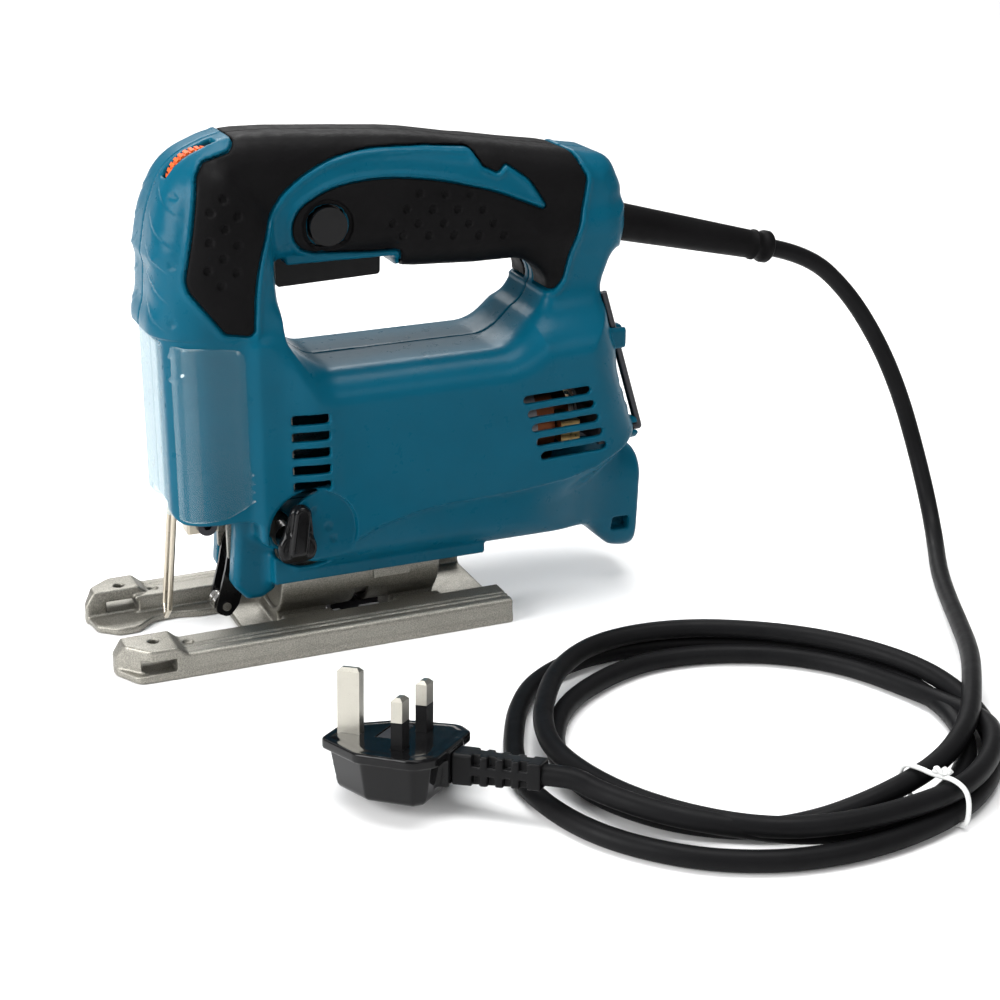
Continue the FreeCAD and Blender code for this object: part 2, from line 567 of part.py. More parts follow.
def build_stator():
    """Laminations with two pole faces and flats on top and bottom."""
    length = CORE_X[1] - CORE_X[0]
    ring = tube(V(CORE_X[0], 0, MOTOR_Z), X_DIR, STATOR_R, STATOR_R - 4, length)
    poles = tube(V(CORE_X[0], 0, MOTOR_Z), X_DIR, STATOR_R - 3.5, ROTOR_R + AIR_GAP, length)
    wedge = box(CORE_X, (-STATOR_R, STATOR_R), (MOTOR_Z - 8, MOTOR_Z + 8))
    return ring.fuse(poles.cut(wedge))


def build_brushes():
    """Two carbon brushes on springs, in brass holders either side of the commutator."""
    holders = []
    carbons = []
    springs = []
    for side in (-1, 1):
        y = [side * 12.0, side * 27.0]
        holder = box((72, 80), (min(y), max(y)), (MOTOR_Z - 4.5, MOTOR_Z + 4.5))
        far_y = max(y) - 0.8 if side > 0 else max(y) + 1
        room = box((73, 79), (min(y) - 1, far_y), (MOTOR_Z - 3.5, MOTOR_Z + 3.5))
        if side < 0:
            room = box((73, 79), (min(y) + 0.8, max(y) + 1), (MOTOR_Z - 3.5, MOTOR_Z + 3.5))
        holders.append(holder.cut(room))
        c = sorted([side * 10.1, side * 19.0])
        carbons.append(box((73.1, 78.9), c, (MOTOR_Z - 3.4, MOTOR_Z + 3.4)))
        start = V(76, side * 19.1, MOTOR_Z)
        springs.append(tube(start, Y_DIR * side, 2.2, 1.5, 7.0))
    save("brush_holders", Part.Compound(holders))
    save("carbon_brushes", Part.Compound(carbons))
    save("brush_springs", Part.Compound(springs))


# ---- controls ----
def build_controls():
    trigger = side_plate([(-37.6, 139, 1.5), (3.6, 140.3, 1.5), (4.2, 157, 1), (-37.6, 157, 1)], (-8.6, 8.6))
    save("trigger", trigger)
    save("switch_body", box((-30, 0), (-8, 8), (162.5, 182)))
    plunger = rod(V(LOCK_AT[0], -22.3, LOCK_AT[1]), Y_DIR, LOCK_R, 8.0)
    flange = rod(V(LOCK_AT[0], -17.6, LOCK_AT[1]), Y_DIR, LOCK_R + 1.2, 1.6)
    save("lock_button", plunger.fuse(flange))
    dial = rod(V(DIAL_AT[0], DIAL_Y[0], DIAL_AT[1]), Y_DIR, DIAL_R, DIAL_Y[1] - DIAL_Y[0])
    notches = []
    for k in range(36):
        notch = box((-0.45, 0.45), (DIAL_Y[0] - 1, DIAL_Y[1] + 1), (DIAL_R - 0.6, DIAL_R + 1))
        notch.rotate(V(0, 0, 0), Y_DIR, 10 * k)
        notches.append(notch.translated(V(DIAL_AT[0], 0, DIAL_AT[1])))
    save("speed_dial", dial.cut(notches))
    save("speed_controller", box((-72, -52), (-3.5, 9), (161, 180)))
    hub = rod(V(LEVER_HUB[0], LEVER_FACE_Y + 2.2, LEVER_HUB[1]), Y_DIR, 4.7, 14.0)
    arm = side_plate([(-4.2, -2, 1), (4.2, -2, 1), (3.6, 14.8, 3.4), (-3.6, 14.8, 3.4)],
                     (LEVER_FACE_Y, LEVER_FACE_Y + 3.6))
    arm.rotate(V(0, 0, 0), Y_DIR, LEVER_REST)
    arm.translate(V(LEVER_HUB[0], 0, LEVER_HUB[1]))
    save("orbit_lever", joined([hub, arm]))
    cam = rod(V(LEVER_HUB[0], -21.3, LEVER_HUB[1]), Y_DIR, 3.6, 8.5)
    flat = box((LEVER_HUB[0] - 5, LEVER_HUB[0] - 1.5), (-20, -8), (LEVER_HUB[1] - 5, LEVER_HUB[1] + 5))
    save("orbit_cam", cam.cut(flat))


def build_roller():
    """The roller guide that backs the blade: a black fork, its roller and pins."""
    pivot = V(ARM_PIVOT[0], 0, ARM_PIVOT[1])
    plates = []
    outline = [(ROLLER_X - 4.5, ROLLER_Z - 2, 3), (ROLLER_X + 1, ROLLER_Z - 5.0, 3), (ROLLER_X + 5, ROLLER_Z, 4),
               (ARM_PIVOT[0] + 2.5, 26, 6), (ARM_PIVOT[0] + 4.5, ARM_PIVOT[1] + 1, 3),
               (ARM_PIVOT[0] - 1, ARM_PIVOT[1] + 5, 3), (ARM_PIVOT[0] - 5, ARM_PIVOT[1] - 2, 4),
               (ROLLER_X + 0.2, 27, 6)]
    for y in ((-5.6, -4.1), (4.1, 5.6)):
        plates.append(side_plate(outline, y))
    bridge = box((ARM_PIVOT[0] - 4.5, ARM_PIVOT[0] - 3), (-5, 5), (24, 32))
    arm = joined(plates + [bridge])
    arm = arm.cut([rod(V(pivot.x, -10, pivot.z), Y_DIR, 2.0 + RUN_GAP, 20),
                   rod(V(ROLLER_X, -10, ROLLER_Z), Y_DIR, 1.8, 20)])
    save("roller_arm", arm)
    save("arm_pivot_pin", rod(V(pivot.x, -8.4, pivot.z), Y_DIR, 2.0, 16.8))
    save("roller_pin", rod(V(ROLLER_X, -6.2, ROLLER_Z), Y_DIR, 1.8, 12.4))
    wheel = tube(V(ROLLER_X, -3.6, ROLLER_Z), Y_DIR, ROLLER_R, 1.8 + RUN_GAP, 7.2)
    groove = tube(V(ROLLER_X, -0.9, ROLLER_Z), Y_DIR, ROLLER_R + 1, ROLLER_R - 1.0, 1.8)
    save("roller", wheel.cut(groove))


def build_wire_guard():
    """One bent steel wire: two legs down the front and a pointed turn at the bottom."""
    top = [V(-79.3, y, 62) for y in (-WIRE_HALF, WIRE_HALF)]
    low = [V(-84.3, y, 13.5) for y in (-WIRE_HALF, WIRE_HALF)]
    tip = V(-84.9, 0, 9.6)
    pieces = []
    for start, end in ((top[0], low[0]), (top[1], low[1]), (low[0], tip), (low[1], tip)):
        pieces.append(rod(start, end - start, WIRE_R, start.distanceToPoint(end)))
    for ball in low + [tip]:
        pieces.append(Part.makeSphere(WIRE_R, ball))
    save("wire_guard", joined(pieces))


# ---- dust cover ----
def cover_plan(inset):
    half = COVER_HALF - inset
    front = COVER_FRONT_X + inset
    return [(COVER_REAR_X, -half, 0), (-79.5, -half, 9), (front, -13.5, 7), (front, 13.5, 7), (-79.5, half, 9),
            (COVER_REAR_X, half, 0)]


def build_cover():
    """The clear sliding cover, with ribs at its front and finger ridges at its sides."""
    outer = plan_plate(cover_plan(0), COVER_Z)
    inner_plan = cover_plan(COVER_THICK)
    inner_plan[0] = (COVER_REAR_X + 5, inner_plan[0][1], 0)
    inner_plan[-1] = (COVER_REAR_X + 5, inner_plan[-1][1], 0)
    inner = plan_plate(inner_plan, (COVER_Z[0] - 1, COVER_Z[1] + 1))
    side_view = [(COVER_FRONT_X - 1, COVER_Z[0], 0), (-66, COVER_Z[0], 20), (COVER_REAR_X, COVER_Z[0] + 7, 5),
                 (COVER_REAR_X, COVER_Z[1] - 4, 14), (-68, COVER_Z[1] - 2, 20), (COVER_FRONT_X - 1, COVER_Z[1], 0)]
    trimmed = outer.cut(inner).common(side_plate(side_view, (-40, 40)))
    save("dust_cover", trimmed)


# ---- sole ----
def build_base():
    """The die-cast sole: two rails with end blocks, a blade slot and the tilting trough."""
    half = SOLE_WIDTH / 2
    plan = [(FRONT_X, -27, 4), (-105, -half, 4), (SOLE_REAR_X, -half, 1.5), (SOLE_REAR_X, half, 1.5),
            (-105, half, 4), (FRONT_X, 30, 4), (FRONT_X + 2, 15, 4), (-102, 8.6, 4), (-94, 8.6, 6),
            (-86, 16.5, 8), (-76, 16.5, 4), (-68, SLOT_FAR_Y, 4), (SLOT_REAR_X, SLOT_FAR_Y, 3),
            (SLOT_REAR_X, -22.5, 3), (-86, -22.5, 3), (-92, -20, 4), (FRONT_X, -20, 4)]
    plate = plan_plate(plan, (0, SOLE_PLATE))
    rails = []
    for side in (-1, 1):
        profile = [(half, 0, 0), (half, 8.6, 0), (half - 1, 9.5, 0), (34.0, RAIL_TOP - 0.1, 0),
                   (33.6, RAIL_TOP - 0.7, 0), (33.2, RAIL_TOP - 0.05, 0), (31.0, RAIL_TOP, 0),
                   (30.6, RAIL_TOP - 0.7, 0), (30.2, RAIL_TOP, 0), (RAIL_INNER_Y, RAIL_TOP, 0), (RAIL_INNER_Y, 0, 0)]
        rail = end_plate([(side * y, z, r) for y, z, r in profile], (-92, SOLE_REAR_X))
        rails.append(rail)
        rails.append(front_block(side))
    trough = rod(V(TROUGH_X[0], 0, TILT_Z), X_DIR, TROUGH_OUTER_R, TROUGH_X[1] - TROUGH_X[0])
    upper = box((-60, 60), (-40, 40), (TILT_Z - 1.0, TILT_Z + 40))
    cheeks = box(TROUGH_X, (-RAIL_INNER_Y, RAIL_INNER_Y), (0, RAIL_TOP))
    bore = rod(V(-60, 0, TILT_Z), X_DIR, TROUGH_R, 100)
    body = joined([plate] + rails + [trough.cut(upper), cheeks]).cut([bore])
    window_x = (CLAMP_X[0] - 3, CLAMP_X[1] + 3)
    window_y = (-RAIL_INNER_Y + 0.1, RAIL_INNER_Y - 0.1)
    under = tube(V(window_x[0], 0, TILT_Z), X_DIR, TILT_Z + 5, TROUGH_OUTER_R, window_x[1] - window_x[0])
    window = under.common(box(window_x, window_y, (-1, 14)))
    middle = (CLAMP_X[0] + CLAMP_X[1]) / 2
    bolt_slot = box((middle - 2.9, middle + 2.9), (-18.3, 18.3), (-1, 18.5))
    swing = tube(V(TUNNEL_X[0] - 3, 0, TILT_Z), X_DIR, SWING_R, TROUGH_OUTER_R, 90)
    grooves = [swing.common(box((-60, 60), (y - 6, y + 6), (5.0, TILT_Z))) for y in (-18.0, 18.0)]
    holes = []
    for side in (-1, 1):
        holes.append(rod(V(-97, side * 29.0, -1), Z_DIR, FENCE_HOLE_R, 20))
        holes.append(rod(V(-83.5, side * 28.0, -1), Z_DIR, FENCE_HOLE_R, 20))
    fence = box((-103, -91), (-50, 50), (4.6, 8.6))
    body = body.cut([window, bolt_slot, fence] + grooves + holes)
    save("base_plate", body)
    plate = tube(V(CLAMP_X[0], 0, TILT_Z), X_DIR, TROUGH_OUTER_R + 2.2, TROUGH_OUTER_R + 0.1,
                 CLAMP_X[1] - CLAMP_X[0])
    plate = plate.common(box(CLAMP_X, (-8, 8), (0, TILT_Z)))
    save("base_clamp_plate", plate.cut(rod(V(middle, 0, -5), Z_DIR, BOLT_R, 20)))
    head_z = TILT_Z - TROUGH_OUTER_R - 2.2
    head = rod(V(middle, 0, head_z - 2.0), Z_DIR, 4.2, 2.0)
    bolt = rod(V(middle, 0, head_z), Z_DIR, BOLT_R, 16).fuse(head)
    socket = rod(V(middle, 0, head_z - 2.1), Z_DIR, 2.0, 1.6)
    save("base_clamp_bolt", bolt.cut(socket))
    saddle_x = (TROUGH_X[0] + 1.5, TROUGH_X[1] - 1.5)
    saddle = rod(V(saddle_x[0], 0, TILT_Z), X_DIR, TROUGH_R - SADDLE_GAP, saddle_x[1] - saddle_x[0])
    below = box((-60, 60), (-40, 40), (-10, TILT_Z - 2))
    neck = box(saddle_x, (-11, 11), (TILT_Z - 3, TILT_Z + TUNNEL_R))
    neck = neck.common(rod(V(-60, 0, TILT_Z), X_DIR, TUNNEL_R, 100))
    saddle = saddle.common(below).fuse(neck)
    save("tilt_saddle", saddle.cut(rod(V(middle, 0, 0), Z_DIR, BOLT_R, head_z + 16.2)))
    save("scale_plate", box((-6, 9), (-TROUGH_OUTER_R - 0.5, -TROUGH_OUTER_R), (TILT_Z - 5, TILT_Z - 1.5)))


def front_block(side):
    """One end block of the sole: a chamfered block with a recess beside the fence slot."""
    half = SOLE_WIDTH / 2
    outline = [(FRONT_X, 0, 0), (FRONT_X, 8, 0), (FRONT_X + 3.5, BLOCK_TOP, 0), (BLOCK_REAR_X, BLOCK_TOP, 0),
               (BLOCK_REAR_X + 4, RAIL_TOP - 0.6, 0), (BLOCK_REAR_X + 4, 0, 0)]
    if side < 0:
        block = side_plate(outline, (-half, -21.0))
        corner = plan_plate([(FRONT_X - 5, -half - 5, 0), (-100, -half - 5, 0), (FRONT_X - 5, -26, 0)], (-1, 20))
        recess = box(POCKET_X, (-half - 1, -half + POCKET_DEPTH), POCKET_Z)
        return block.cut([corner, recess])
    block = side_plate(outline, (24.5, half))
    corner = plan_plate([(FRONT_X - 5, half + 5, 0), (FRONT_X - 5, 29, 0), (-100, half + 5, 0)], (-1, 20))
    return block.cut(corner)


# ---- hex key, guard, cord and plug ----
def build_key():
    long_leg = hex_prism_between(KEY_TOP, KEY_BEND, KEY_R)
    short_leg = rod(KEY_BEND, -X_DIR, KEY_R, 11.0)
    save("hex_key", joined([long_leg, short_leg, Part.makeSphere(KEY_R, KEY_BEND)]))


def hex_prism_between(start, end, radius):
    return rod(start, end - start, radius, start.distanceToPoint(end))


def build_guard():
    """The tapered rubber guard, with a flange inside the shell and a bead at its tip."""
    axis = GUARD_END - GUARD_START
    length = axis.Length
    axis.normalize()
    cone = Part.makeCone(GUARD_R[0], GUARD_R[1], length, GUARD_START, axis)
    flange = rod(GUARD_START - axis * 4, axis, GUARD_R[0] + 2.4, 4)
    bead = rod(GUARD_END - axis * 3.5, axis, GUARD_R[1] + 1.0, 3.5)
    save("cord_guard", joined([cone, flange, bead]))


def cord_path(points):
    """Straight runs joined by tangent arcs, each as large as its two runs allow; prints the radii."""
    route = [V(*p) for p in points]
    edges = []
    start = route[0]
    radii = []
    for i in range(1, len(route) - 1):
        before = route[i - 1] - route[i]
        after = route[i + 1] - route[i]
        turn = math.pi - before.getAngle(after)
        reach = 0.45 * min(before.Length, after.Length)
        radii.append(reach / math.tan(turn / 2))
        before.normalize()
        after.normalize()
        arc_start = route[i] + before * reach
        arc_end = route[i] + after * reach
        middle_dir = (before + after).normalize()
        drop = radii[-1] * (1 / math.cos(turn / 2) - 1)
        edges.append(Part.LineSegment(start, arc_start).toShape())
        edges.append(Part.Arc(arc_start, route[i] + middle_dir * drop, arc_end).toShape())
        start = arc_end
    edges.append(Part.LineSegment(start, route[-1]).toShape())
    print("cord radii", " ".join("%.0f" % r for r in radii))
    return Part.Wire(edges)


def cord_tube(points):
    wire = cord_path(points)
    first = V(*points[0])
    direction = (V(*points[1]) - first).normalize()
    circle = Part.Wire(Part.Circle(first, direction, CORD_R).toShape())
    solid = wire.makePipeShell([circle], True, False)
    print("cord length %.0f  volume %.0f expected %.0f" % (
        wire.Length, solid.Volume, wire.Length * math.pi * CORD_R ** 2))
    return solid


def plug_place(shape):
    """Puts a shape drawn about the pins' midpoint (pin face at Z = 0, cord towards +X) in its place."""
    shape = shape.copy()
    shape.rotate(V(0, 0, 0), Y_DIR, -PLUG_LIFT)
    shape.rotate(V(0, 0, 0), X_DIR, -PLUG_TILT)
    shape.rotate(V(0, 0, 0), Z_DIR, PLUG_TURN)
    shape.translate(PLUG_AT)
    return shape


def build_plug():
    face_plan = [(-29.5, -8.5, 4), (-12, -21, 6), (9, -22.5, 6), (15, -16, 4), (15, 16, 4), (9, 22.5, 6),
                 (-12, 21, 6), (-29.5, 8.5, 4)]
    flange = plan_plate(face_plan, (-3.6, 0))
    body_plan = [(-26, -7, 4), (-10, -18.5, 7), (8, -20, 6), (13, -14, 4), (13, 14, 4), (8, 20, 6),
                 (-10, 18.5, 7), (-26, 7, 4)]
    low_plan = [(0.82 * x - 1, 0.8 * y, 0.8 * r) for x, y, r in body_plan]
    loft = Part.makeLoft([rounded_wire(body_plan, lambda p: V(p.x, p.y, -3.6)),
                          rounded_wire(low_plan, lambda p: V(p.x, p.y, -PLUG_DEPTH))], True, True)
    collar = box((8, RELIEF_X[0] + 1), (-7.5, 7.5), (-RELIEF_DROP - 6.2, -RELIEF_DROP + 6.2))
    bores = []
    for x, y, z_length, half_x, half_y in PINS:
        bores.append(box((x - half_x, x + half_x), (y - half_y, y + half_y), (-2.5, 1)))
    fuse = box((-12.4, -5.6), (-1.9, 16.1), (-2, 1))
    body = joined([flange, loft, collar]).cut(bores + [fuse])
    save("plug_body", plug_place(body))
    carrier = box((-12.2, -5.8), (-1.7, 15.9), (-2, 0.0))
    save("fuse_carrier", plug_place(carrier))
    pins = []
    sleeves = []
    for x, y, length, half_x, half_y in PINS:
        pin = box((x - half_x, x + half_x), (y - half_y, y + half_y), (-2.5, length))
        top = [e for e in pin.Edges if all(abs(v.Point.z - length) < 1e-6 for v in e.Vertexes)]
        pin = pin.makeChamfer(1.2, top)
        if length < 20:
            sleeve = box((x - half_x, x + half_x), (y - half_y, y + half_y), (0.0, SLEEVE))
            core_x = (x - half_x + 0.6, x + half_x - 0.6)
            core_y = (y - half_y + 0.6, y + half_y - 0.6)
            core = box(core_x, core_y, (-3, SLEEVE + 1))
            sleeves.append(sleeve.cut(core))
            pin = pin.cut(sleeve.cut(core))
        pins.append(pin)
    save("plug_pins", plug_place(Part.Compound(pins)))
    save("pin_sleeves", plug_place(Part.Compound(sleeves)))
    relief = box(RELIEF_X, (-5.6, 5.6), (-RELIEF_DROP - 5.2, -RELIEF_DROP + 5.2))
    notches = []
    for k in range(4):
        x = RELIEF_X[0] + 9.5 + 5.4 * k
        for side in (-1, 1):
            notch_y = (side * 4.4 - 1.6, side * 4.4 + 1.6)
            notches.append(box((x, x + 2.7), notch_y, (-RELIEF_DROP + 1.5, 5)))
            notches.append(box((x, x + 2.7), notch_y, (-20, -RELIEF_DROP - 1.5)))
    relief = relief.cut(notches + [box((0, RELIEF_X[0] + 1), (-7.5, 7.5), (-20, 10))])
    save("plug_strain_relief", plug_place(relief))


def build_cord():
    save("cord_run", cord_tube(CORD_ROUTE))
    centre = V(COIL_AT[0], COIL_AT[1], 0)
    ring = tube(centre, Z_DIR, COIL_R[1], COIL_R[0], COIL_HEIGHT)
    relief_room = plug_place(box((5, RELIEF_X[1]), (-6.6, 6.6), (-RELIEF_DROP - 5.5, 12)))
    angle = math.radians(TIE_ANGLE)
    middle = (COIL_R[0] + COIL_R[1]) / 2
    width = COIL_R[1] - COIL_R[0]
    tie = box((-width / 2 - 1.2, width / 2 + 1.2), (-1.5, 1.5), (0, COIL_HEIGHT + 1.2))
    hollow = box((-width / 2, width / 2), (-2, 2), (1.2, COIL_HEIGHT))
    middle_at = V(COIL_AT[0] + middle * math.cos(angle), COIL_AT[1] + middle * math.sin(angle), 0)
    tie = tie.cut(hollow).rotated(V(0, 0, 0), Z_DIR, TIE_ANGLE).translated(middle_at)
    save("cord_tie", tie)
    run_end = V(*CORD_ROUTE[-1])
    run_back = V(*CORD_ROUTE[-2]) - run_end
    run_room = rod(run_end - run_back * 0.05, run_back, CORD_R + 0.05, run_back.Length * 1.05)
    save("cord_coil", ring.cut([relief_room, tie, run_room]))


os.makedirs("parts", exist_ok=True)
build_shell()
build_gears()
build_gear_housing()
build_slider()
build_motor()
build_brushes()
build_controls()
build_roller()
build_wire_guard()
build_cover()
build_base()
build_key()
build_guard()
build_plug()
build_cord()
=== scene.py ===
"""Corded orbital jigsaw: the visual model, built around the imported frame.

Lengths are in millimetres, but for the lead's route, the lights and the camera, which are in metres.
"""
import functools
import itertools
import math

import bpy
import numpy as np
from mathutils import Matrix, Vector


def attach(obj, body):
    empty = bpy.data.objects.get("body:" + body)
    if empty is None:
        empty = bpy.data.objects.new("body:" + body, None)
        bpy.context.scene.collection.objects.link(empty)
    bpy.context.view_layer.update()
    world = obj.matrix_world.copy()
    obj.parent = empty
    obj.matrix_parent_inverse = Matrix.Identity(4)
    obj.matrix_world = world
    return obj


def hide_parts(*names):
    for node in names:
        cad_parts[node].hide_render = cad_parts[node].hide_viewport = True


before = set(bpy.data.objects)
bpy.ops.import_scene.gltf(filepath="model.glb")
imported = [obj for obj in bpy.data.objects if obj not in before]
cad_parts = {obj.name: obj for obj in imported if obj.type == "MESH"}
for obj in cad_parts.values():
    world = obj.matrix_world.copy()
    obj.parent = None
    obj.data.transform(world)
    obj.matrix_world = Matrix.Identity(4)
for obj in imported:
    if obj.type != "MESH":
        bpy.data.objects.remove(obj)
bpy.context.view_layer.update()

MM = 0.001
F = np.float32

# ---- driving dimensions ----
COLUMN_HALF = 27.0
MOTOR_HALF = 33.0
HANDLE_HALF = 21.5
CHEEK_HALF = 30.6
LEG_HALF = 17.0
SKIRT_HALF = 23.4
SKIRT_Z = 25.0
V_START_Z = 30.1
WALL = 2.5
PARTING_GAP = 0.12
RUBBER_SEAT = 1.6
RUBBER_DEPTH = 1.45
FIT = 0.3
MOTOR_Z = 73.0
TILT_Z = 26.0
TROUGH_R = 18.6
TROUGH_WALL = 2.4
TROUGH_X = (-43.5, 22.0)
TROUGH_MID_X = (TROUGH_X[0] + TROUGH_X[1]) / 2
TUNNEL_R = TROUGH_R + TROUGH_WALL + 1.2
TUNNEL_HALF = 34.3
SWING_R = 24.4
LEVER_HUB = (-41.0, 44.0)
LEVER_FACE_Y = -37.5
LEVER_REST = math.radians(-8.0)
RECESS_AT = (-33.5, 48.0)
RECESS_R = 17.5
LOCK_AT = (-20.5, 163.5)
LOCK_R = 7.2
DIAL_AT = (-63.5, 180.5)
DIAL_Y = (-9.5, -4.5)
GUARD_START = Vector((97.0, 0.0, 152.3))
GUARD_END = Vector((178.0, 0.0, 132.2))
GUARD_R = (7.9, 5.6)
KEY_TOP = (93.0, -19.0, 126.3)
KEY_BEND = (109.9, -19.0, 68.8)
KEY_R = 1.6
KEY_CLIP = ((88.0, 102.6), (-22.4, -13.0), (103, 112))
KEY_GAP = ((96.5, 110), (-20.3, -17.7), (100, 115))
COVER_Z = (57.0, 126.0)
COVER_HALF = 29.3
COVER_FRONT_X = -85.6
COVER_REAR_X = -52.0
VENT_ROWS = 5
VENT_DEPTH = 6
FRONT_VENT_X = (-40.3, -26.0)
FRONT_VENT_TOP = MOTOR_Z + 20.5
FRONT_VENT_PITCH = 6.6
FRONT_VENT_HALF = 1.9
REAR_VENT_TOP = MOTOR_Z + 17.3
REAR_VENT_PITCH = 6.0
REAR_VENT_X = 54.8
REAR_VENT_LEAN = 1.9
REAR_VENT_RUN = (25.5, 0.9)
REAR_VENT_R = 1.65
TAIL_VENT_ROWS = 4
TAIL_VENT_LOW = MOTOR_Z - 5
TAIL_VENT_PITCH = 6.2
TAIL_VENT_Y = (13, 24)
LIP = ((-36, 7.6), (-17.5, 17.5), (149.2, 153))
TRIGGER_SLOT = ((-38.4, 4.8), (-9.2, 9.2), (130, 156.5))
SLIDER_ROOM = ((-85, -41), (-12.3, 12.3), (50, 61))
BLADE_ROOM = ((-72, -45), (-8.7, 8.7), (8, 60))
SADDLE_ROOM = ((22, 38), (-21.6, 21.6), (10, V_START_Z))
PORT_WINDOW = ((100.8, 108.2), (-24, -9.5), (22.5, 28.5))
PORT_POCKET = ((97, 114), (-20, -7.5), (18, 33))
PORT_POCKET_ROOM = ((97, 111), *PORT_POCKET[1:])
SCREW_R = 3.7
SCREW_BOSS_R = 3.9
SCREW_DEPTH = 3.9
SCREWS = [(-79.0, 150.0, 27.0), (-30.0, 187.5, 20.5), (58.0, 176.0, 20.5), (86.0, 120.0, 20.5),
          (-2.0, 103.0, 33.0), (99.0, 66.0, 33.0), (78.0, 46.0, 33.0)]
CORD_D = 7.3


# ---- distance fields: negative inside, arrays over a lattice ----
class Lattice:
    """Evenly spaced points between two corners, as three arrays that broadcast together."""

    def __init__(self, low, high, step):
        self.low = np.array(low, dtype=np.float64)
        self.step = step
        counts = [int(math.ceil((b - a) / step)) + 1 for a, b in zip(low, high)]
        axes = [(a + step * np.arange(n)).astype(F) for a, n in zip(low, counts)]
        self.x, self.y, self.z = np.ix_(*axes)


def unite(a, b, k=0.0):
    """Union, with a fillet of about k where the two meet."""
    if np.isscalar(k) and k == 0:
        return np.minimum(a, b)
    h = np.clip(0.5 + 0.5 * (b - a) / k, 0, 1)
    return b + (a - b) * h - k * h * (1 - h)


def meet(a, b, k=0.0):
    """Intersection, with an edge rounded by about k."""
    return -unite(-a, -b, k)


def cut(a, b, k=0.0):
    """The first less the second, with an edge rounded by about k."""
    return -unite(-a, b, k)


def ramp(value, low, high):
    """0 below low, 1 above high and smooth between."""
    t = np.clip((value - low) / (high - low), 0, 1)
    return t * t * (3 - 2 * t)


def rounded(corners, arc_steps=7):
    """The points of a closed outline through corners (a, b, radius), each rounded by a tangent arc."""
    points = []
    count = len(corners)
    for i, (a, b, radius) in enumerate(corners):
        here = Vector((a, b))
        if radius == 0:
            points.append(here)
            continue
        before = (Vector(corners[i - 1][:2]) - here).normalized()
        after = (Vector(corners[(i + 1) % count][:2]) - here).normalized()
        half = before.angle(after) / 2
        reach = radius / math.tan(half)
        centre = here + (before + after).normalized() * (radius / math.sin(half))
        start = here + before * reach - centre
        turn = start.angle_signed(here + after * reach - centre)
        for k in range(arc_steps + 1):
            spin = Matrix.Rotation(-turn * k / arc_steps, 2)
            points.append(centre + spin @ start)
    return np.array([(p.x, p.y) for p in points], dtype=F)


def outline(corners, a, b):
    """Signed distance in a plane to the closed outline through corners."""
    points = rounded(corners)
    shape = np.broadcast(a, b).shape
    best = np.full(shape, 1e9, dtype=F)
    inside = np.zeros(shape, dtype=bool)
    for (pa, pb), (qa, qb) in zip(points, np.roll(points, -1, axis=0)):
        ea, eb = qa - pa, qb - pb
        size = ea * ea + eb * eb
        if size < 1e-9:
            continue
        t = np.clip(((a - pa) * ea + (b - pb) * eb) / size, 0, 1)
        best = np.minimum(best, (a - pa - t * ea) ** 2 + (b - pb - t * eb) ** 2)
        if eb != 0:
            inside ^= ((pb > b) != (qb > b)) & (a < pa + (b - pb) * (ea / eb))
    return np.where(inside, -1, 1).astype(F) * np.sqrt(best)


def extruded(flat, across, radius):
    """A flat outline's distance carried across a thickness, with rounded rims."""
    a, b = flat + radius, across + radius
    return np.minimum(np.maximum(a, b), 0) + np.hypot(np.maximum(a, 0), np.maximum(b, 0)) - radius


def block(grid, x, y, z, radius=0.0):
    """A box between pairs of coordinates, with rounded edges."""
    parts = []
    for axis, (low, high) in zip((grid.x, grid.y, grid.z), (x, y, z)):
        parts.append(np.abs(axis - (low + high) / 2) - ((high - low) / 2 - radius))
    outside = np.sqrt(sum(np.maximum(p, 0) ** 2 for p in parts))
    return outside + np.minimum(np.maximum(np.maximum(parts[0], parts[1]), parts[2]), 0) - radius


def capsule(grid, start, end, radius):
    """A round bar between two points."""
    start, end = Vector(start), Vector(end)
    run = end - start
    ax, ay, az = grid.x - start.x, grid.y - start.y, grid.z - start.z
    t = np.clip((ax * run.x + ay * run.y + az * run.z) / run.length_squared, 0, 1)
    return np.sqrt((ax - t * run.x) ** 2 + (ay - t * run.y) ** 2 + (az - t * run.z) ** 2) - radius


def disc_y(grid, x, z, radius, y, edge=0.3):
    """A round bar along Y."""
    flat = np.hypot(grid.x - x, grid.z - z) - radius
    across = np.abs(grid.y - (y[0] + y[1]) / 2) - (y[1] - y[0]) / 2
    return extruded(flat, across, edge)


JITTER = 0.012
FOLD_LIMIT = 0.35  # the least cosine between a face's normal and the mean normal at its corners
FOLD_ROUNDS = 4

EDGES = [(np.insert((u, v), axis, 0), np.insert((u, v), axis, 1))
         for axis in range(3) for v in (0, 1) for u in (0, 1)]  # the two ends of each of a cell's edges


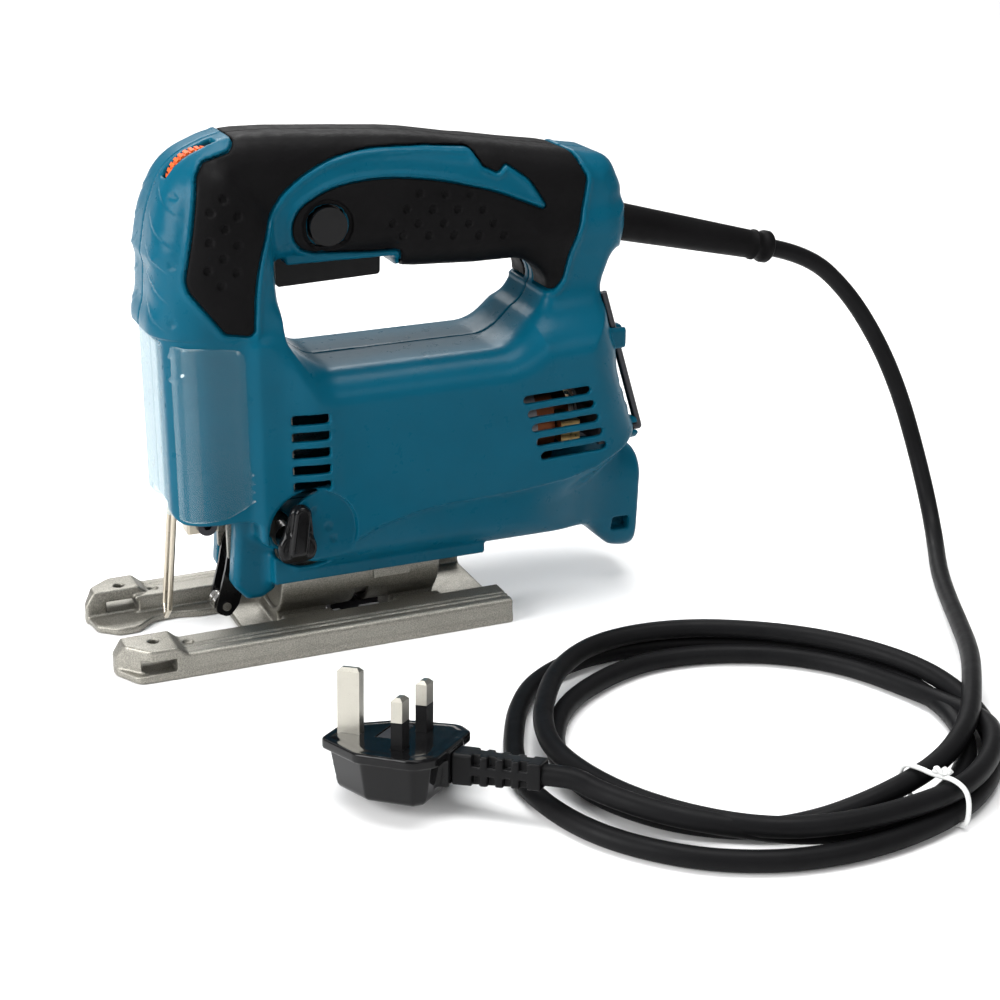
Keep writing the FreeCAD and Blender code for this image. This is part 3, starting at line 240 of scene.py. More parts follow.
def net(field, grid):
    """The surface where a field is zero: one vertex for each cell that it crosses, joined by quads."""
    field = np.pad(field.astype(F), 1, constant_values=1.0)
    inside = field < 0
    total = np.zeros([n - 1 for n in field.shape], dtype=np.int8)
    for corner in itertools.product((0, 1), repeat=3):
        total += inside[tuple(slice(i, i + n) for i, n in zip(corner, total.shape))]
    cells = np.argwhere((total > 0) & (total < 8))
    place = np.zeros((len(cells), 3))
    hits = np.zeros(len(cells))
    for a, b in EDGES:
        fa = field[tuple((cells + a).T)].astype(np.float64)
        fb = field[tuple((cells + b).T)].astype(np.float64)
        crossed = (fa < 0) != (fb < 0)
        t = np.where(crossed, fa / np.where(crossed, fa - fb, 1), 0)
        point = a + t[:, None] * (b - a)
        place[crossed] += point[crossed]
        hits += crossed
    vertices = grid.low + (cells - 1 + place / hits[:, None]) * grid.step
    number = np.full(total.shape, -1, dtype=np.int64)
    number[tuple(cells.T)] = np.arange(len(cells))
    faces = []
    for axis in range(3):
        u, v = [a for a in range(3) if a != axis]
        first = [slice(1, -1)] * 3
        first[axis] = slice(0, -1)
        second = list(first)
        second[axis] = slice(1, None)
        low, high = inside[tuple(first)], inside[tuple(second)]
        at = np.argwhere(low != high)
        if len(at) == 0:
            continue
        starts = low[tuple(at.T)]
        at[:, u] += 1
        at[:, v] += 1
        corners = []
        for du, dv in ((-1, -1), (0, -1), (0, 0), (-1, 0)):
            c = at.copy()
            c[:, u] += du
            c[:, v] += dv
            corners.append(number[tuple(c.T)])
        quad = np.stack(corners, axis=1)
        flip = starts if axis != 1 else ~starts
        quad[~flip] = quad[~flip][:, ::-1]
        faces.append(quad)
    return vertices, np.concatenate(faces)


def placed(name, data):
    """A new object in the scene."""
    item = bpy.data.objects.new(name, data)
    bpy.context.scene.collection.objects.link(item)
    return item


def make_mesh(name, vertices, faces):
    """A smooth-shaded object from vertices in millimetres and quads."""
    mesh = bpy.data.meshes.new(name)
    mesh.vertices.add(len(vertices))
    mesh.vertices.foreach_set("co", (np.asarray(vertices) * MM).astype(F).ravel())
    mesh.loops.add(faces.size)
    mesh.loops.foreach_set("vertex_index", faces.ravel().astype(np.int32))
    mesh.polygons.add(len(faces))
    mesh.polygons.foreach_set("loop_start", np.arange(0, faces.size, faces.shape[1], dtype=np.int32))
    mesh.update(calc_edges=True)
    mesh.polygons.foreach_set("use_smooth", np.ones(len(mesh.polygons), dtype=bool))
    return placed(name, mesh)


def sculpt(name, field, grid, share, material, body, slot, *nodes):
    """Turns a field into a piece: its surface, thinned to a share of its faces, shaded evenly and finished.

    A jitter far below what can be seen breaks the ties between the flat areas' edges as they are thinned.
    """
    vertices, faces = net(field, grid)
    vertices += np.random.default_rng(7).normal(0.0, JITTER, vertices.shape)
    piece = make_mesh(name, vertices, faces)
    thin = piece.modifiers.new("thin", "DECIMATE")
    thin.ratio = share
    thin.use_collapse_triangulate = True
    applied(piece)
    untangle(piece.data)
    piece.data.polygons.foreach_set("use_smooth", np.ones(len(piece.data.polygons), dtype=bool))
    piece.modifiers.new("even", "WEIGHTED_NORMAL").weight = 50
    applied(piece)
    finish_piece(piece, material, body, slot, *nodes)


def untangle(mesh):
    """Moves the corners of folded triangles to the middle of their neighbours."""
    spots = np.empty(len(mesh.vertices) * 3)
    mesh.vertices.foreach_get("co", spots)
    spots = spots.reshape(-1, 3)
    corners = np.empty(len(mesh.polygons) * 3, dtype=np.int64)
    mesh.polygons.foreach_get("vertices", corners)
    corners = corners.reshape(-1, 3)
    edges = np.concatenate([corners[:, [0, 1]], corners[:, [1, 2]], corners[:, [2, 0]]])
    for _ in range(FOLD_ROUNDS):
        a, b, c = (spots[corners[:, k]] for k in range(3))
        normal = np.cross(b - a, c - a)
        at_vertex = np.zeros_like(spots)
        for k in range(3):
            np.add.at(at_vertex, corners[:, k], normal)
        at_vertex /= np.linalg.norm(at_vertex, axis=1)[:, None] + 1e-30
        normal /= np.linalg.norm(normal, axis=1)[:, None] + 1e-30
        agree = np.min([np.sum(normal * at_vertex[corners[:, k]], axis=1) for k in range(3)], axis=0)
        bad = np.unique(corners[agree < FOLD_LIMIT])
        total = np.zeros_like(spots)
        count = np.zeros(len(spots))
        np.add.at(total, edges[:, 0], spots[edges[:, 1]])
        np.add.at(count, edges[:, 0], 1)
        spots[bad] = total[bad] / count[bad, None]
    mesh.vertices.foreach_set("co", spots.ravel())
    mesh.update()


def applied(piece):
    """Applies a piece's modifiers to its mesh."""
    graph = bpy.context.evaluated_depsgraph_get()
    mesh = bpy.data.meshes.new_from_object(piece.evaluated_get(graph))
    piece.modifiers.clear()
    piece.data = mesh


def finish_piece(piece, material, body, slot, *nodes):
    """Gives a piece its material and its body, and hides the CAD nodes that it stands for."""
    piece.data.materials.clear()
    piece.data.materials.append(material)
    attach(piece, body)
    if nodes:
        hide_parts(*nodes)


# ---- materials ----
def new_material(name, colour, roughness, metallic=0.0):
    """A material and its shader, before any texture."""
    material = bpy.data.materials.new(name)
    material.use_nodes = True
    nodes = material.node_tree.nodes
    shader = nodes["Principled BSDF"]
    shader.inputs["Base Color"].default_value = (*colour, 1)
    shader.inputs["Roughness"].default_value = roughness
    shader.inputs["Metallic"].default_value = metallic
    return material, shader


def link(material, out, into):
    material.node_tree.links.new(out, into)


def noise(material, scale, detail=4.0, rough=0.55, stretch=None):
    """Noise in the object's own space; scale is in features per metre."""
    nodes = material.node_tree.nodes
    place = nodes.new("ShaderNodeTexCoord")
    source = place.outputs["Object"]
    if stretch:
        mapping = nodes.new("ShaderNodeMapping")
        mapping.inputs["Scale"].default_value = stretch
        link(material, source, mapping.inputs["Vector"])
        source = mapping.outputs["Vector"]
    texture = nodes.new("ShaderNodeTexNoise")
    texture.inputs["Scale"].default_value = scale
    texture.inputs["Detail"].default_value = detail
    texture.inputs["Roughness"].default_value = rough
    link(material, source, texture.inputs["Vector"])
    return texture.outputs["Fac"]


def spread(material, value, low, high, to_low, to_high):
    """A value carried from one range to another."""
    node = material.node_tree.nodes.new("ShaderNodeMapRange")
    for name, number in (("From Min", low), ("From Max", high), ("To Min", to_low), ("To Max", to_high)):
        node.inputs[name].default_value = number
    link(material, value, node.inputs["Value"])
    return node.outputs["Result"]


def vary_colour(material, shader, value, dark, light):
    """Base colour between two shades by a value from 0 to 1."""
    mix = material.node_tree.nodes.new("ShaderNodeMix")
    mix.data_type = "RGBA"
    mix.inputs[6].default_value = (*dark, 1)
    mix.inputs[7].default_value = (*light, 1)
    link(material, value, mix.inputs[0])
    link(material, mix.outputs[2], shader.inputs["Base Color"])


def add_bump(material, shader, value, strength, distance):
    bump = material.node_tree.nodes.new("ShaderNodeBump")
    bump.inputs["Strength"].default_value = strength
    bump.inputs["Distance"].default_value = distance
    link(material, value, bump.inputs["Height"])
    link(material, bump.outputs["Normal"], shader.inputs["Normal"])


def shaded(colour, factor):
    return tuple(min(c * factor, 1.0) for c in colour)


def plastic(name, colour, roughness=0.32, grain=2600.0, grain_depth=0.06, mottle=0.12, shine=0.2):
    """Moulded plastic: fine texture, faint mottling and uneven gloss."""
    material, shader = new_material(name, colour, roughness)
    broad = spread(material, noise(material, 45.0, 5.0), 0.3, 0.7, 0, 1)
    vary_colour(material, shader, broad, shaded(colour, 1 - mottle), shaded(colour, 1 + mottle))
    gloss = noise(material, 160.0, 6.0, 0.65)
    link(material, spread(material, gloss, 0.3, 0.7, roughness - 0.05, roughness + 0.07),
         shader.inputs["Roughness"])
    add_bump(material, shader, noise(material, grain, 2.0), grain_depth, 0.0002)
    shader.inputs["Specular IOR Level"].default_value = shine
    return material


def rubber(name, colour, roughness=0.55, grain=1900.0):
    """Soft moulded rubber: matt, with a fine pebbled skin and dusty patches."""
    material, shader = new_material(name, colour, roughness)
    patches = spread(material, noise(material, 38.0, 6.0, 0.6), 0.35, 0.75, 0, 1)
    vary_colour(material, shader, patches, shaded(colour, 0.8), shaded(colour, 1.25))
    link(material, spread(material, noise(material, 240.0, 4.0), 0.3, 0.7, roughness - 0.07, roughness + 0.1),
         shader.inputs["Roughness"])
    add_bump(material, shader, noise(material, grain, 3.0, 0.7), 0.16, 0.0003)
    shader.inputs["Specular IOR Level"].default_value = 0.05
    return material


def metal(name, colour, roughness=0.25, brushed=None, streak=0.3):
    """Machined or ground metal, with streaks along one axis where it is brushed."""
    material, shader = new_material(name, colour, roughness, 1.0)
    fine = noise(material, 900.0, 5.0, 0.6, brushed)
    vary_colour(material, shader, spread(material, fine, 0.25, 0.75, 0, 1), shaded(colour, 1 - streak / 2),
                shaded(colour, 1 + streak / 3))
    link(material, spread(material, fine, 0.25, 0.75, roughness - 0.06, roughness + 0.12),
         shader.inputs["Roughness"])
    add_bump(material, shader, fine, 0.05, 0.0002)
    return material


def casting(name, colour, roughness=0.42):
    """Die-cast aluminium: a sandy skin with cloudy gloss."""
    material, shader = new_material(name, colour, roughness, 0.9)
    sand = noise(material, 2100.0, 3.0, 0.7)
    cloud = noise(material, 70.0, 6.0, 0.6)
    grain = spread(material, sand, 0.3, 0.7, 0, 1)
    vary_colour(material, shader, grain, shaded(colour, 0.5), shaded(colour, 1.35))
    link(material, spread(material, cloud, 0.3, 0.7, roughness - 0.06, roughness + 0.12),
         shader.inputs["Roughness"])
    add_bump(material, shader, sand, 0.35, 0.00025)
    return material


def clear_plastic(name):
    """Clear moulding seen as a pale veil, denser where it is seen edge on, with a painted highlight along its
    sharp rims and faint scuffs.
    """
    material, shader = new_material(name, (0.50, 0.62, 0.65), 0.08)
    nodes = material.node_tree.nodes
    facing = nodes.new("ShaderNodeLayerWeight")
    facing.inputs["Blend"].default_value = 0.4
    shape = nodes.new("ShaderNodeNewGeometry")
    total = nodes.new("ShaderNodeMath")
    total.operation = "ADD"
    total.use_clamp = True
    link(material, spread(material, facing.outputs["Facing"], 0.3, 0.95, 0.05, 0.7), total.inputs[0])
    # painted highlight: the pale colour's alpha is raised at sharp convex rims (Pointiness), so the cut edges
    # show lighter
    link(material, spread(material, shape.outputs["Pointiness"], 0.53, 0.62, 0.0, 0.75), total.inputs[1])
    link(material, total.outputs["Value"], shader.inputs["Alpha"])
    scuffs = noise(material, 300.0, 6.0, 0.7, (1.0, 1.0, 0.15))
    link(material, spread(material, scuffs, 0.35, 0.7, 0.05, 0.2), shader.inputs["Roughness"])
    add_bump(material, shader, noise(material, 60.0, 2.0), 0.05, 0.0006)
    shader.inputs["IOR"].default_value = 1.5
    return material


TEAL = (0.0003, 0.070, 0.118)
BLACK = (0.004, 0.004, 0.0044)
teal = plastic("teal_plastic", TEAL, 0.30, 2400.0, 0.05, 0.06, 0.1)
black_rubber = rubber("black_rubber", (0.0045, 0.0043, 0.0046), 0.5)
gloss_black = plastic("gloss_black_plastic", BLACK, 0.14, 900.0, 0.03, 0.2, 0.16)
satin_black = plastic("satin_black_plastic", BLACK, 0.36, 1800.0, 0.08, 0.2, 0.12)
dark_plastic = plastic("dark_grey_plastic", (0.035, 0.035, 0.038), 0.4)
orange = plastic("orange_plastic", (0.62, 0.10, 0.018), 0.42, 1500.0, 0.1, 0.15)
white_tie = plastic("white_tie_plastic", (0.72, 0.73, 0.72), 0.4, 1200.0, 0.2, 0.05)
ground_steel = metal("ground_steel", (0.50, 0.49, 0.48), 0.28, (1, 1, 12))
bright_steel = metal("bright_steel", (0.72, 0.71, 0.69), 0.16, (1, 12, 1), 0.15)
zinc_steel = metal("zinc_steel", (0.42, 0.38, 0.31), 0.3, None, 0.2)
black_steel = metal("black_oxide_steel", (0.045, 0.045, 0.05), 0.32)
lamination = metal("laminated_steel", (0.18, 0.18, 0.19), 0.42, (30, 1, 1), 0.6)
nickel = metal("nickel_plate", (0.40, 0.385, 0.34), 0.3, (1, 1, 6), 0.1)
# enamel tone partly real, darkened further as painted shade for the dim insides of the motor vents
copper = metal("enamelled_copper_darkened_as_shade", (0.16, 0.055, 0.025), 0.35, (40, 1, 1), 0.5)
brass = metal("brass", (0.40, 0.28, 0.12), 0.3)
bronze = metal("sintered_bronze", (0.42, 0.28, 0.15), 0.5)
cast = casting("cast_aluminium", (0.255, 0.245, 0.215))
felt = rubber("felt", (0.42, 0.40, 0.35), 0.85, 900.0)
clear = clear_plastic("clear_cover_plastic")
cord_skin = plastic("cord_sheath", (0.0055, 0.0055, 0.006), 0.45, 1400.0, 0.1, 0.2, 0.07)

# ---- shell ----
COLUMN = [
    (-82.6, 57, 3), (-60, 57, 0), (-36, 57, 0), (-36, 108, 0), (-42.5, 122, 8), (-44.5, 150, 8),
    (-46, 168, 20), (-62, 186, 10), (-77.5, 184.5, 9), (-82.8, 170, 40), (-87, 146, 60), (-87, 127.5, 1),
    (-82.6, 127.5, 1),
]
HANDLE = [
    (-57, 197.0, 26), (-75, 189.5, 20), (-82.5, 170, 30), (-85, 156, 0), (-60, 150, 0), (-36, 151, 0),
    (4, 151, 1), (9, 144, 4), (40, 142.5, 30), (68, 142.5, 0), (102.5, 142.5, 0), (102, 168, 10),
    (97, 180, 8), (60, 185.5, 80), (15, 193.3, 160), (-36, 196.6, 60),
]
REAR_COLUMN = [
    (62, 156, 0), (62, 143, 6), (70.5, 134, 9), (66, 121, 14), (50, 104, 0), (93, 104, 0), (89.5, 122, 40),
    (101, 152, 4), (101, 160, 0),
]
MOTOR = [
    (-40, 28.3, 0), (91, 28.3, 14), (100.5, 18, 5), (104, 14.4, 3), (111.3, 14.4, 4), (111.3, 47, 14),
    (106.6, 61, 5), (107.4, 70, 9), (100, 91, 30), (93, 109, 20), (90, 117, 0), (62, 117, 0),
    (52, 109.6, 20), (-24, 109.2, 12), (-42, 122, 0),
]
CHEEK = [(-53.3, 46, 2), (-45.4, 39.7, 2), (-25, 39.7, 0), (-25, 96, 0), (-45.5, 124, 5), (-53.3, 126, 3)]
LEG = [
    (-60, 60, 0), (-59.6, 45, 8), (-61.5, 24, 4), (-56, 17.5, 3), (-50, 17.5, 3), (-44, 21, 0),
    (-36, 60, 0),
]
RUBBER = [
    (-52, 126.3, 3), (-63.4, 128.6, 4), (-77.2, 147.2, 10), (-69.2, 185.5, 5), (-65.5, 190, 4),
    (-55.5, 192.8, 3), (-53, 196, 1), (-53, 210, 0), (81.3, 210, 0), (81.3, 181.7, 4), (84.8, 173, 6),
    (81.7, 155.6, 30), (77.8, 143.8, 20), (75.4, 134, 8), (70.6, 128.2, 4), (61, 133.2, 3), (57, 130, 0),
    (11, 138, 0), (8.8, 147.5, 1), (8, 151.2, 1), (-2.6, 151.4, 4), (-25.7, 153.2, 8), (-35.4, 156.6, 9),
    (-33.9, 170.0, 12), (-20, 177.5, 40), (0, 180.4, 90), (24, 177.2, 120), (46.1, 171.4, 90),
    (68.2, 162.0, 0.8), (60.3, 174.0, 14), (51.2, 180.6, 1.2), (47.6, 177.4, 1.6), (41.6, 180.4, 2.2),
    (37.8, 187.4, 3), (19.2, 189.4, 90), (-7, 190.4, 70), (-28.5, 184.6, 55), (-43.6, 170.5, 45),
    (-50.6, 149.8, 90),
]
CREASE = [(-60, 30), (-43.5, 34.3), (-25, 39.2), (-7.1, 47.4), (8, 51.2), (20.7, 52.8), (49, 53.5),
          (72.2, 55.8), (86.4, 59.5), (98.2, 65.2), (106, 70.5)]
NOSE = [(126.8, -85.0), (127.6, -86.6), (130, -86.6), (142, -85.4), (155, -84.2), (165, -82.2), (172, -80.2),
        (178, -78.0), (183, -75.4), (188, -71.5), (192, -66.5), (195, -60.5), (199, -50.0)]
NOSE_R = 18.0
COLUMN_PITS = [(-77.0, 24.0, 178.5), (-80.0, 24.6, 154.8), (-81.5, 24.6, 133.5)]
NOSE_RIDGES = (181.5, 171.0, 160.5, 150.0, 139.5)
RECESS_PIPS = [(-2.9, 10.5), (1.4, 8.2), (6.6, 1.1), (8.4, -4.0)]


def motor_half(grid):
    """Half width of the motor housing: full above the crease, stepped in and tapering below it."""
    run = np.array(CREASE, dtype=F)
    below = np.interp(grid.x.ravel(), run[:, 0], run[:, 1]).astype(F)[:, None, None] - grid.z
    drop = 1.3 * ramp(below, 0.0, 1.6) + 0.14 * np.clip(below, 0, 60)
    drop = drop + 13.0 * ramp(grid.x, 56, 104) * ramp(below, 0.0, 12.0)
    slope = 21.8 + 1.0 * (grid.z - 28.3) + 22.0 * ramp(grid.x, 80, 98)
    return unite(MOTOR_HALF - drop, slope, 3.0)


def nose_round(grid):
    """The D-shaped plan of the column, which leans back with height."""
    run = np.array(NOSE, dtype=F)
    lean = np.interp(grid.z.ravel(), run[:, 0], run[:, 1]).astype(F)[None, None, :]
    narrow = 5.0 * ramp(grid.z, 160, 196)
    across = np.maximum(np.abs(grid.y) - (COLUMN_HALF - NOSE_R - narrow), 0)
    return np.hypot(across, np.maximum(lean + NOSE_R - grid.x, 0)) - NOSE_R


def shell_outer(grid):
    """The outside form of the whole shell, without openings."""
    y = np.abs(grid.y)
    x, z = grid.x, grid.z
    side = outline(COLUMN, x, z)
    column = meet(side + 0 * y, nose_round(grid), 7.0 * ramp(z, 130, 140) + 0.8)
    crown = 3.5 * ramp(z, 168, 196) + 1.2 * ramp(-z, -152, -142)
    handle = extruded(outline(HANDLE, x, z), y - (HANDLE_HALF - crown), 9.5)
    rear = extruded(outline(REAR_COLUMN, x, z), y - (HANDLE_HALF - 1.0), 4.5)
    rear_taper = 3.0 * ramp(x, 84, 108)
    edge = 3.0 + 10.0 * ramp(z, 44, 74)
    motor = extruded(outline(MOTOR, x, z), y - (motor_half(grid) - rear_taper), edge)
    cheek = extruded(outline(CHEEK, x, z), y - CHEEK_HALF, 2.6)
    body = unite(motor, cheek, 7.0)
    body = unite(body, column, 4.0)
    grip = unite(unite(handle, rear, 6.0), column, 6.0)
    body = unite(body, grip, 8.0 + 9.0 * ramp(x, 52, 82))
    body = unite(body, block(grid, *LIP, 0.8), 0.8)
    skirt = block(grid, (-47, 40.5), (-SKIRT_HALF, SKIRT_HALF), (SKIRT_Z, V_START_Z + 6), 0.8)
    leg = extruded(outline(LEG, x, z), y - LEG_HALF, 2.8)
    return unite(unite(unite(body, skirt, 1.5), leg, 5.0), port(grid), 12.0)


def port(grid, wall=0.0):
    """The dust port behind the motor, flaring to its rim; a positive wall gives the bore inside it."""
    t = ramp(grid.x, 84.0, 112.0)
    radius = 10.0
    half_y = 13.0 + 3.0 * t - radius
    half_z = 13.0 + 7.0 * t - radius
    middle = 41.5 - 7.0 * t
    flat = np.hypot(np.maximum(np.abs(grid.y) - half_y, 0), np.maximum(np.abs(grid.z - middle) - half_z, 0))
    if wall:
        return np.maximum(flat - radius + wall, 89.0 - grid.x)
    return extruded(flat - radius, np.abs(grid.x - 98.75) - 12.75, 1.0)


def off_tunnel(grid, radius, half):
    """Distance to the round tunnel over the sole's trough."""
    return np.maximum(np.hypot(grid.y, grid.z - TILT_Z) - radius, np.abs(grid.x - TROUGH_MID_X) - half)


def shell_cuts(grid, side):
    """Distance to everything that goes through the shell's wall on one side."""
    face = side * MOTOR_HALF
    cuts = []
    for row in range(VENT_ROWS):
        front = FRONT_VENT_TOP - FRONT_VENT_PITCH * row
        cuts.append(block(grid, FRONT_VENT_X, (face - VENT_DEPTH, face + VENT_DEPTH),
                          (front - FRONT_VENT_HALF, front + FRONT_VENT_HALF), 0.8))
        start = (REAR_VENT_X + REAR_VENT_LEAN * row, REAR_VENT_TOP - REAR_VENT_PITCH * row)
        end = (start[0] + REAR_VENT_RUN[0], start[1] + REAR_VENT_RUN[1])
        cuts.append(np.maximum(slot_flat(grid, start, end, REAR_VENT_R), np.abs(grid.y - face) - VENT_DEPTH))
    for row in range(TAIL_VENT_ROWS):
        low = TAIL_VENT_LOW + TAIL_VENT_PITCH * row
        cuts.append(block(grid, (97, 112), sorted(side * y for y in TAIL_VENT_Y), (low, low + 3.0), 0.8))
    axis = (GUARD_END - GUARD_START).normalized()
    cuts.append(capsule(grid, GUARD_START - axis * 6, GUARD_START + axis * 30, GUARD_R[0] + FIT))
    cuts.append(block(grid, *TRIGGER_SLOT, 0.6))
    slot = block(grid, (-80.5, -58.5), (DIAL_Y[0] - 0.7, DIAL_Y[1] + 0.7), (183.5, 203), 0.6)
    cuts.append(np.minimum(slot, disc_y(grid, *DIAL_AT, 13.8, (DIAL_Y[0] - 0.5, DIAL_Y[1] + 0.5), 0)))
    cuts.append(block(grid, *SLIDER_ROOM, 0.5))
    cuts.append(block(grid, *BLADE_ROOM, 0.5))
    cuts.append(off_tunnel(grid, TUNNEL_R, TUNNEL_HALF))
    cuts.append(block(grid, *SADDLE_ROOM, 0.5))
    cuts.append(np.maximum(port(grid, 2.3), -block(grid, *PORT_POCKET, 0)))
    if side < 0:
        cuts.append(disc_y(grid, *LEVER_HUB, 5.4, (-60, 0), 0))
        cuts.append(disc_y(grid, *LOCK_AT, LOCK_R + 0.35, (-40, -9), 0))
        cuts.append(block(grid, *PORT_WINDOW, 0.8))
        foot = [(KEY_BEND[0] + reach, *KEY_BEND[1:]) for reach in (-12, 12)]
        cuts.append(capsule(grid, *foot, KEY_R + FIT))
    return functools.reduce(np.minimum, cuts)


def slot_flat(grid, start, end, radius):
    """A slot's outline in XZ, with round ends."""
    ax, az = grid.x - start[0], grid.z - start[1]
    rx, rz = end[0] - start[0], end[1] - start[1]
    t = np.clip((ax * rx + az * rz) / (rx * rx + rz * rz), 0, 1)
    return np.hypot(ax - t * rx, az - t * rz) - radius


def key_mounts(grid):
    """The clip on the hex key's long leg and the boss on its short one."""
    grip = capsule(grid, KEY_TOP, KEY_BEND, KEY_R + 0.15)
    clip = cut(block(grid, *KEY_CLIP, 1.6), np.minimum(grip, block(grid, *KEY_GAP, 0)))
    boss = np.hypot(grid.y - KEY_TOP[1], grid.z - KEY_BEND[2]) - 4.6
    return unite(clip, extruded(boss, np.abs(grid.x - 102.15) - 6.15, 0.8))


def shell_half(side):
    """One moulded half of the shell, with its wall, openings and surface details."""
    label = "left" if side < 0 else "right"
    low, high = (-35.0, 0.6) if side < 0 else (-0.6, 35.0)
    grid = Lattice((-92, low, 12), (114, high, 200), 0.7)
    x, z = grid.x, grid.z
    y = np.abs(grid.y)
    outer = shell_outer(grid)
    rubber = outline(RUBBER, x, z)
    rubber_in = np.maximum(rubber - 0.1, 4.2 - y - 30 * ramp(z, 180, 181))
    rim = 0.6 * np.exp(-((rubber - 1.3) / 0.8) ** 2) * ramp(z, 124, 128)
    shell = cut(outer - rim, meet(rubber_in, -(outer + RUBBER_SEAT)))
    if side < 0:
        disc = np.hypot(x - RECESS_AT[0], z - RECESS_AT[1]) - RECESS_R
        shell = cut(shell, np.maximum(disc, grid.y + 30.4), 0.7)
        crescent = 7.0 - np.hypot(x - RECESS_AT[0] - 6.0, z - RECESS_AT[1] - 1.0) + 8.0
        shell = cut(shell, np.maximum(np.maximum(disc + 0.8, crescent), grid.y + 20.0), 0.4)
        for dx, dz in RECESS_PIPS:
            pip = np.hypot(x - RECESS_AT[0] - dx, z - RECESS_AT[1] - dz) - 1.6
            shell = cut(shell, np.maximum(pip, grid.y + 29.6), 0.4)
    for px, py, pz in COLUMN_PITS:
        near = np.maximum(np.hypot(x - px, z - pz) - 1.2, py - 12 - y)
        shell = cut(shell, np.maximum(near, -(outer + 0.5)), 0.5)
    around = ramp(y, 5.0, 9.0) * (1 - ramp(y, 21.0, 25.0))
    for ridge in NOSE_RIDGES:
        slant = (z - ridge) + 0.55 * (y - 6.0)
        shell = shell - 0.28 * around * np.exp(-((slant - 0.6) / 0.7) ** 2) * (x < -60)
        shell = shell + 0.30 * around * np.exp(-((slant + 0.7) / 0.6) ** 2) * (x < -60)
    solid = np.maximum(block(grid, *PORT_POCKET_ROOM, 0), outer + 1.0)
    for bx, bz, half in SCREWS:
        solid = np.minimum(solid, np.maximum(np.hypot(x - bx, z - bz) - SCREW_BOSS_R, outer + 1.0))
        if side > 0:
            shell = cut(shell, disc_y(grid, bx, bz, SCREW_R, (half - SCREW_DEPTH, 60), 0), 0.4)
    inside = cut(outer + WALL, solid)
    if side < 0:
        inside = cut(inside, disc_y(grid, *RECESS_AT, RECESS_R + 2.0, (-36, -27.6), 0))
    shell = cut(shell, cut(inside, off_tunnel(grid, TUNNEL_R + WALL, TUNNEL_HALF + WALL)))
    if side < 0:
        shell = unite(shell, key_mounts(grid))
    shell = cut(shell, shell_cuts(grid, side), 0.5)
    shell = np.maximum(shell, side * -grid.y + PARTING_GAP)
    sculpt("shell_" + label, shell, grid, 0.2, teal, "housing", "shell_teal", "housing_" + label)


FRONT_PIPS = [(-60.9, 177.9), (-66.0, 173.5), (-56.3, 171.6), (-61.4, 167.5), (-67.3, 163.2), (-57.1, 161.6),
              (-62.6, 157.2), (-68.5, 153.1), (-57.9, 151.4), (-63.8, 147.0)]
SIDE_ROWS = [(172.5, 15.8, 3), (167.2, 10.4, 4), (162.4, 4.6, 5), (157.4, 8.7, 5)]


def grip_side(side):
    """The rubber moulding on one side of the handle: a skin over the shell's recess, with dimples."""
    label = "left" if side < 0 else "right"
    low, high = (-30.0, 0.3) if side < 0 else (-0.3, 30.0)
    grid = Lattice((-80, low, 122), (88, high, 200), 0.55)
    x, z = grid.x, grid.z
    outer = shell_outer(grid)
    flat = outline(RUBBER, x, z) + 0.45
    swell = 0.35 * ramp(-flat, 0.0, 6.0)
    skin = meet(outer - swell, -(outer + RUBBER_DEPTH))
    skin = meet(skin, np.broadcast_to(flat, skin.shape), 0.9)
    skin = np.maximum(skin, 4.6 - np.abs(grid.y) - 30 * ramp(z, 180, 181))
    skin = np.maximum(skin, side * -grid.y)
    spots = FRONT_PIPS + [(px + 10.2 * k, pz - 0.9 * k) for pz, px, count in SIDE_ROWS for k in range(count)]
    for px, pz in spots:
        skin = cut(skin, np.maximum(np.hypot(x - px, z - pz) - 1.5, -(outer + 0.55)), 0.5)
    if side < 0:
        ring = np.hypot(x - LOCK_AT[0], z - LOCK_AT[1])
        skin = cut(skin, np.broadcast_to(ring - (LOCK_R + 0.5), skin.shape))
        skin = cut(skin, np.maximum(ring - (LOCK_R + 2.6), -(outer + 0.9)), 0.6)
    sculpt("grip_" + label, skin, grid, 0.25, black_rubber, "housing", "rubber_black",
           "grip_upper_" + label, "grip_lower_" + label)


COVER_PLAN = [
    (COVER_REAR_X, -COVER_HALF, 0), (-79.5, -COVER_HALF, 8), (COVER_FRONT_X, -13.5, 7),
    (COVER_FRONT_X, 13.5, 7), (-79.5, COVER_HALF, 8), (COVER_REAR_X, COVER_HALF, 0), (-40, COVER_HALF, 0),
    (-40, -COVER_HALF, 0),
]
COVER_SIDE = [
    (-95, COVER_Z[0], 0), (-66, COVER_Z[0], 20), (COVER_REAR_X, COVER_Z[0] + 7, 5),
    (COVER_REAR_X, COVER_Z[1] - 4, 12), (-68, COVER_Z[1] - 2, 20), (-95, COVER_Z[1], 0),
]
COVER_RIDGES = (73.9, 70.4, 67.0, 63.2)


def dust_cover():
    """The clear sliding cover, with ribs at its front and finger ridges at its rear edges."""
    grid = Lattice((-88, -31, 55), (-50, 31, 128), 0.5)
    x, y, z = grid.x, np.abs(grid.y), grid.z
    flat = outline(COVER_PLAN, x, grid.y)
    edge = outline(COVER_SIDE, x, z)
    wall = meet(flat, -(flat + 1.7))
    ribs = 0.5 * np.exp(-((x + 59.0) / 0.8) ** 2) * ramp(y, 20, 24)
    slant = (z - 126) - 0.9 * (x + 85)
    for k in range(3):
        ribs = ribs + 0.5 * np.exp(-((slant + 9.0 * k - 2) / 0.8) ** 2) * ramp(y, 12, 16) * ramp(-x, 74, 78)
    for ridge in COVER_RIDGES:
        ribs = ribs + 0.7 * np.exp(-((z - ridge) / 0.7) ** 2) * ramp(x, -57.5, -56) * ramp(y, 20, 24)
    wall = meet(wall - ribs * (flat > -0.6), edge, 0.7)
    sculpt("dust_cover_clear", wall, grid, 0.3, clear, "dust_cover", "clear_plastic", "dust_cover")


